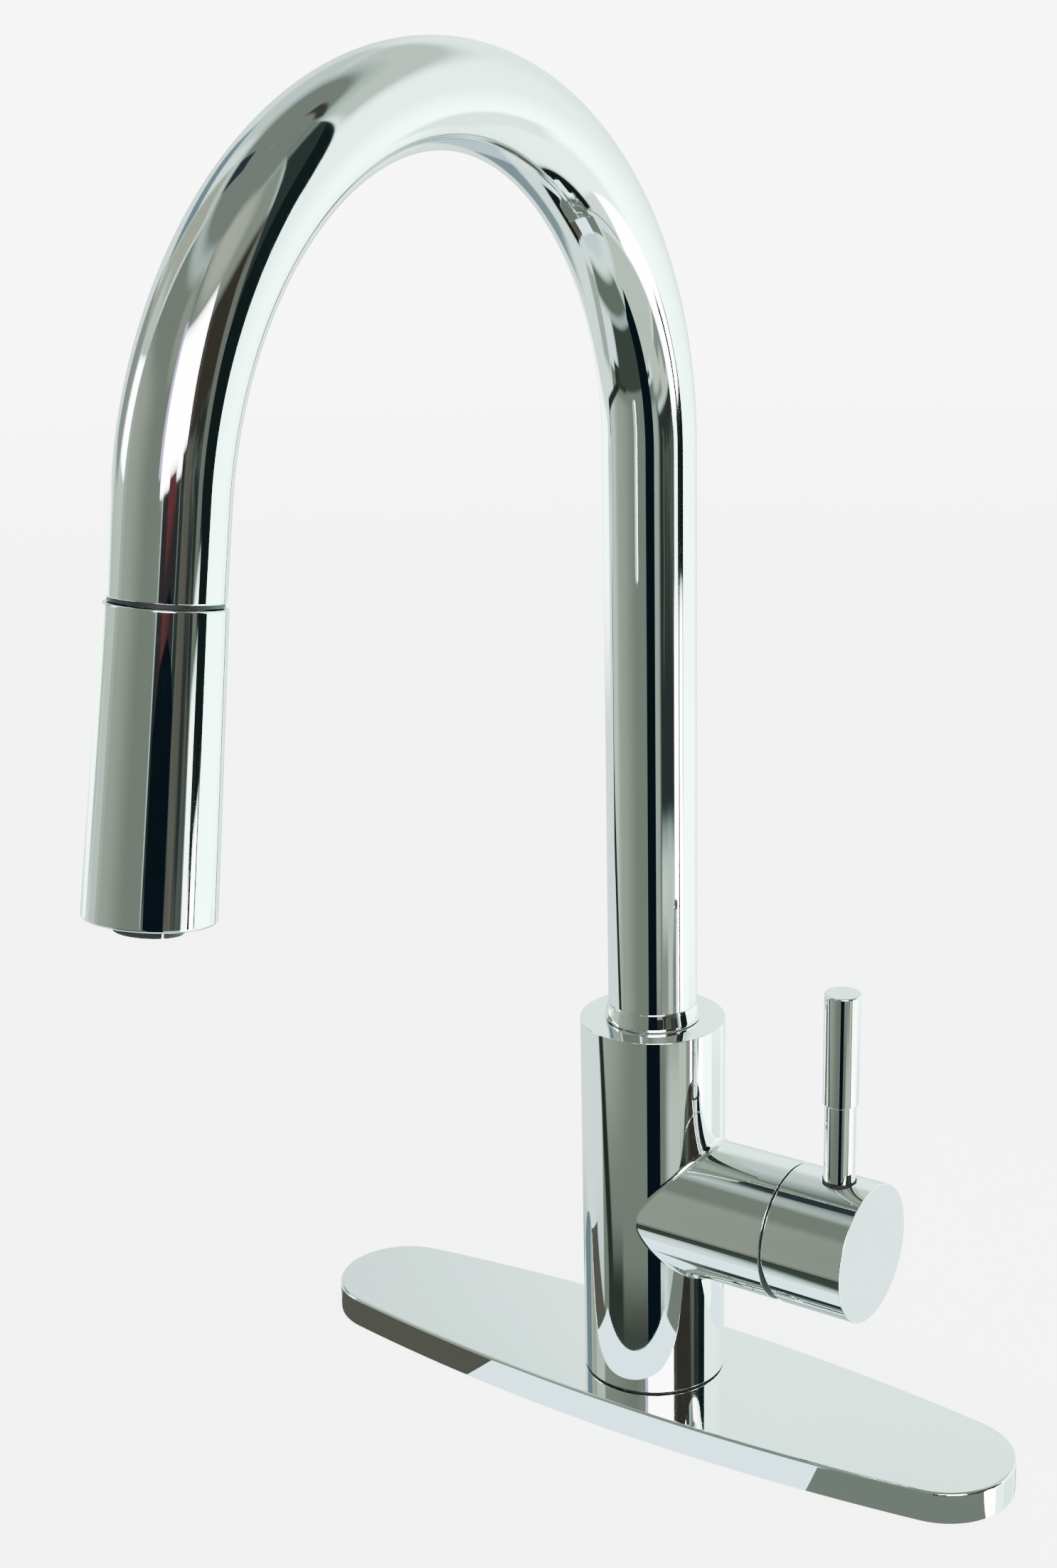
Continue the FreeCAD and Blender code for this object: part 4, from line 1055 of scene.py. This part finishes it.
def make_world():
    room = Surroundings((208, 218, 216))
    # right-hand side: a bright wall that fades towards the back
    room.panel(84, 150, -62, 52, (230, 237, 235), soft=(4, 70, 8, 20))
    room.panel(84, 140, -27, -8, (240, 246, 244), soft=(3, 50, 10, 34))
    room.panel(88, 180, 34, 60, (188, 199, 192), soft=(10, 20, 14, 10))
    room.panel(148, 180, 0, 34, (222, 231, 229), soft=14)
    room.panel(148, 182, -48, -27, (184, 199, 203), soft=(10, 4, 6, 5))
    room.panel(104, 134, -36, -22, (221, 230, 229), soft=5)
    # left-hand side
    room.panel(-180, -140, 32, 62, (190, 202, 200), soft=8)
    room.panel(-182, -140, -48, -27, (134, 152, 157), soft=(4, 16, 6, 4))
    room.panel(-128, -96, 16, 56, (166, 172, 160), soft=7)
    room.panel(-128, -112, -10, 4, (184, 192, 189), soft=4)
    room.panel(-166, -124, -14, -6, (238, 243, 240), soft=4)
    room.panel(-136, -114, 0, 20, (142, 150, 144), soft=4)
    room.panel(-152, -128, 22, 36, (122, 142, 150), soft=4)
    room.panel(-114, -86, -4, 34, (186, 195, 188), soft=(3, 3, 2, 8))
    room.panel(-110, -95, 5, 22, (247, 249, 248), soft=2.5, slope=0.4)
    # ceiling
    room.panel(-180, 180, 58, 95, (124, 133, 125), soft=14)
    room.panel(-14, 66, 34, 62, (138, 147, 138), soft=(3, 10, 3, 8))
    room.panel(-124, -103, 62, 73, (44, 54, 62), soft=3)
    room.glow(20, 55, 34, 15, (172, 178, 167), strength=0.9)
    # large grey wall on the left of the camera, lighter on its left, with a slanted line and a dark foot
    room.panel(-111, -86, -22, -3, (187, 195, 189), soft=(2, 2, 2, 3), low_slope=-0.3)
    room.panel(-113, -110, -19, -12, (66, 72, 66), soft=1.5)
    room.panel(-93, -8.5, -32, 58, (124, 133, 124), soft=(3, 2, 1.5, 14))
    room.panel(-92, -58, -25, 30, (156, 164, 154), soft=(3, 50, 4, 12))
    room.panel(-93, -86, -24, 20, (172, 181, 174), soft=(3, 6, 3, 12), strength=0.6)
    room.glow(-24, 44, 14, 16, (146, 152, 144))
    room.panel(-114, -73, -24.7, -21.7, (40, 44, 38), soft=(2, 4, 1, 1), slope=-0.3, low_slope=-0.3)
    room.panel(-80, 14, -32, -29, (70, 78, 69), soft=2)
    room.panel(-82, -54, -35.5, -28, (50, 56, 49), soft=(2, 6, 2, 2))
    # low all round: the table's edge, the floor and dark bands far down at the back
    room.panel(-70, -5, -52, -30, (64, 74, 66), soft=(8, 4, 6, 2))
    room.panel(-95, -5, -69, -52, (106, 117, 108), soft=8)
    room.panel(-5, 57, -66, -32, (186, 196, 187), soft=(4, 3, 6, 3))
    room.panel(-112, -94, -60, -28, (166, 174, 170), soft=5)
    room.panel(-180, -118, -76, -63, (24, 27, 25), soft=4)
    room.panel(74, 152, -76, -63, (24, 27, 25), soft=4)
    room.panel(-180, 180, -92, -76, (196, 208, 211), soft=5)
    room.panel(58, 74, -56, -53, (18, 20, 20), soft=1.5, slope=-1.8, low_slope=-1.8)
    # bright window straight ahead, with furniture under and beside it
    room.panel(20, 68, 6, 36, (78, 76, 68), soft=(3, 3, 3, 6))
    room.panel(-13, 28, 7, 40, (248, 250, 250), soft=(2, 2, 2, 6))
    room.panel(-18, -13, 11, 44, (205, 200, 218), soft=2, strength=0.7)
    room.panel(-8, 23, -4, 8, (48, 44, 46), soft=(3, 4, 3, 3))
    room.panel(2, 16, 3, 11, (104, 54, 58), soft=(3, 5, 1.5, 4))
    room.panel(-12, 24, -28, -2, (118, 127, 120), soft=2)
    room.panel(6, 19, -22, -8, (160, 169, 160), soft=(3, 5, 4, 4))
    room.panel(22, 58, -19, 12, (44, 52, 50), soft=(4, 2, 3, 4))
    room.panel(30, 42, -10, 10, (96, 96, 88), soft=(5, 6, 5, 5))
    room.panel(22, 58, -31, -20, (140, 149, 141), soft=(4, 3, 2, 3))
    room.panel(20, 40, -33, -23.5, (186, 195, 187), soft=(12, 2, 2, 3))
    room.panel(39, 51, -26, -19, (186, 194, 183), soft=3)
    room.panel(26, 56, -14, 11, (104, 112, 104), soft=3, mottled=True, strength=0.6)
    room.panel(34, 60, 11, 34, (58, 54, 47), soft=(3, 3, 3, 4))
    room.panel(57, 66, -24, 30, (116, 122, 114), soft=(2, 2, 2, 8), slope=0.6)
    room.panel(65, 88, 14, 62, (46, 57, 54), soft=(2, 1.5, 4, 12))
    # tall dark doorway with a sharp right edge, and the bright floor under it
    room.panel(65, 87, -13, 32, (20, 29, 30), soft=(2, 1, 1.5, 2), slope=1.85)
    room.panel(59, 84, -46, -13, (248, 250, 249), soft=(3, 2, 3, 1.5))
    room.panel(60, 68, -14, -7, (240, 243, 242), soft=(2, 2, 3, 2))
    room.panel(82.5, 86, -18, -12, (66, 68, 70), soft=(1.5, 1, 3, 2))
    room.panel(70, 75, -24, -10, (34, 42, 42), soft=1.5)
    # short dark beam high on the right-hand side
    room.panel(92, 122, 67, 73, (62, 66, 57), soft=3, slope=0.35, low_slope=0.35)
    room.finish()


# ---------------------------------------------------------------- camera
CAMERA_AZIMUTH = STUDIO_TURN
CAMERA_ELEVATION = math.radians(17.12)
CAMERA_ROLL = math.radians(-1.2)
CAMERA_DISTANCE = 719.1 * MM
CAMERA_TARGET = Vector((-12.4, -48.3, 220.7)) * MM
CAMERA_LENS = 56.13


def make_camera():
    back = Vector((math.sin(CAMERA_AZIMUTH) * math.cos(CAMERA_ELEVATION),
                   -math.cos(CAMERA_AZIMUTH) * math.cos(CAMERA_ELEVATION), math.sin(CAMERA_ELEVATION)))
    level = (-back).cross(Z).normalized()
    upright = level.cross(-back)
    right = level * math.cos(CAMERA_ROLL) + upright * math.sin(CAMERA_ROLL)
    up = upright * math.cos(CAMERA_ROLL) - level * math.sin(CAMERA_ROLL)
    data = bpy.data.cameras.new("camera")
    data.lens = CAMERA_LENS
    camera = bpy.data.objects.new("camera", data)
    turned = Matrix((right, up, back)).transposed().to_4x4()
    camera.matrix_world = Matrix.Translation(CAMERA_TARGET + back * CAMERA_DISTANCE) @ turned
    bpy.context.scene.collection.objects.link(camera)
    bpy.context.scene.camera = camera


make_camera()
LOOKS = make_looks()
dress_frame(LOOKS)
spout_skin(LOOKS)
swivel_ring(LOOKS)
spray_head(LOOKS)
lever(LOOKS)
body_skin(LOOKS)
hub_skin(LOOKS)
plate_skin(LOOKS)
outlet_hose(LOOKS)
make_floor()
make_reflectors()
make_light()
make_world()
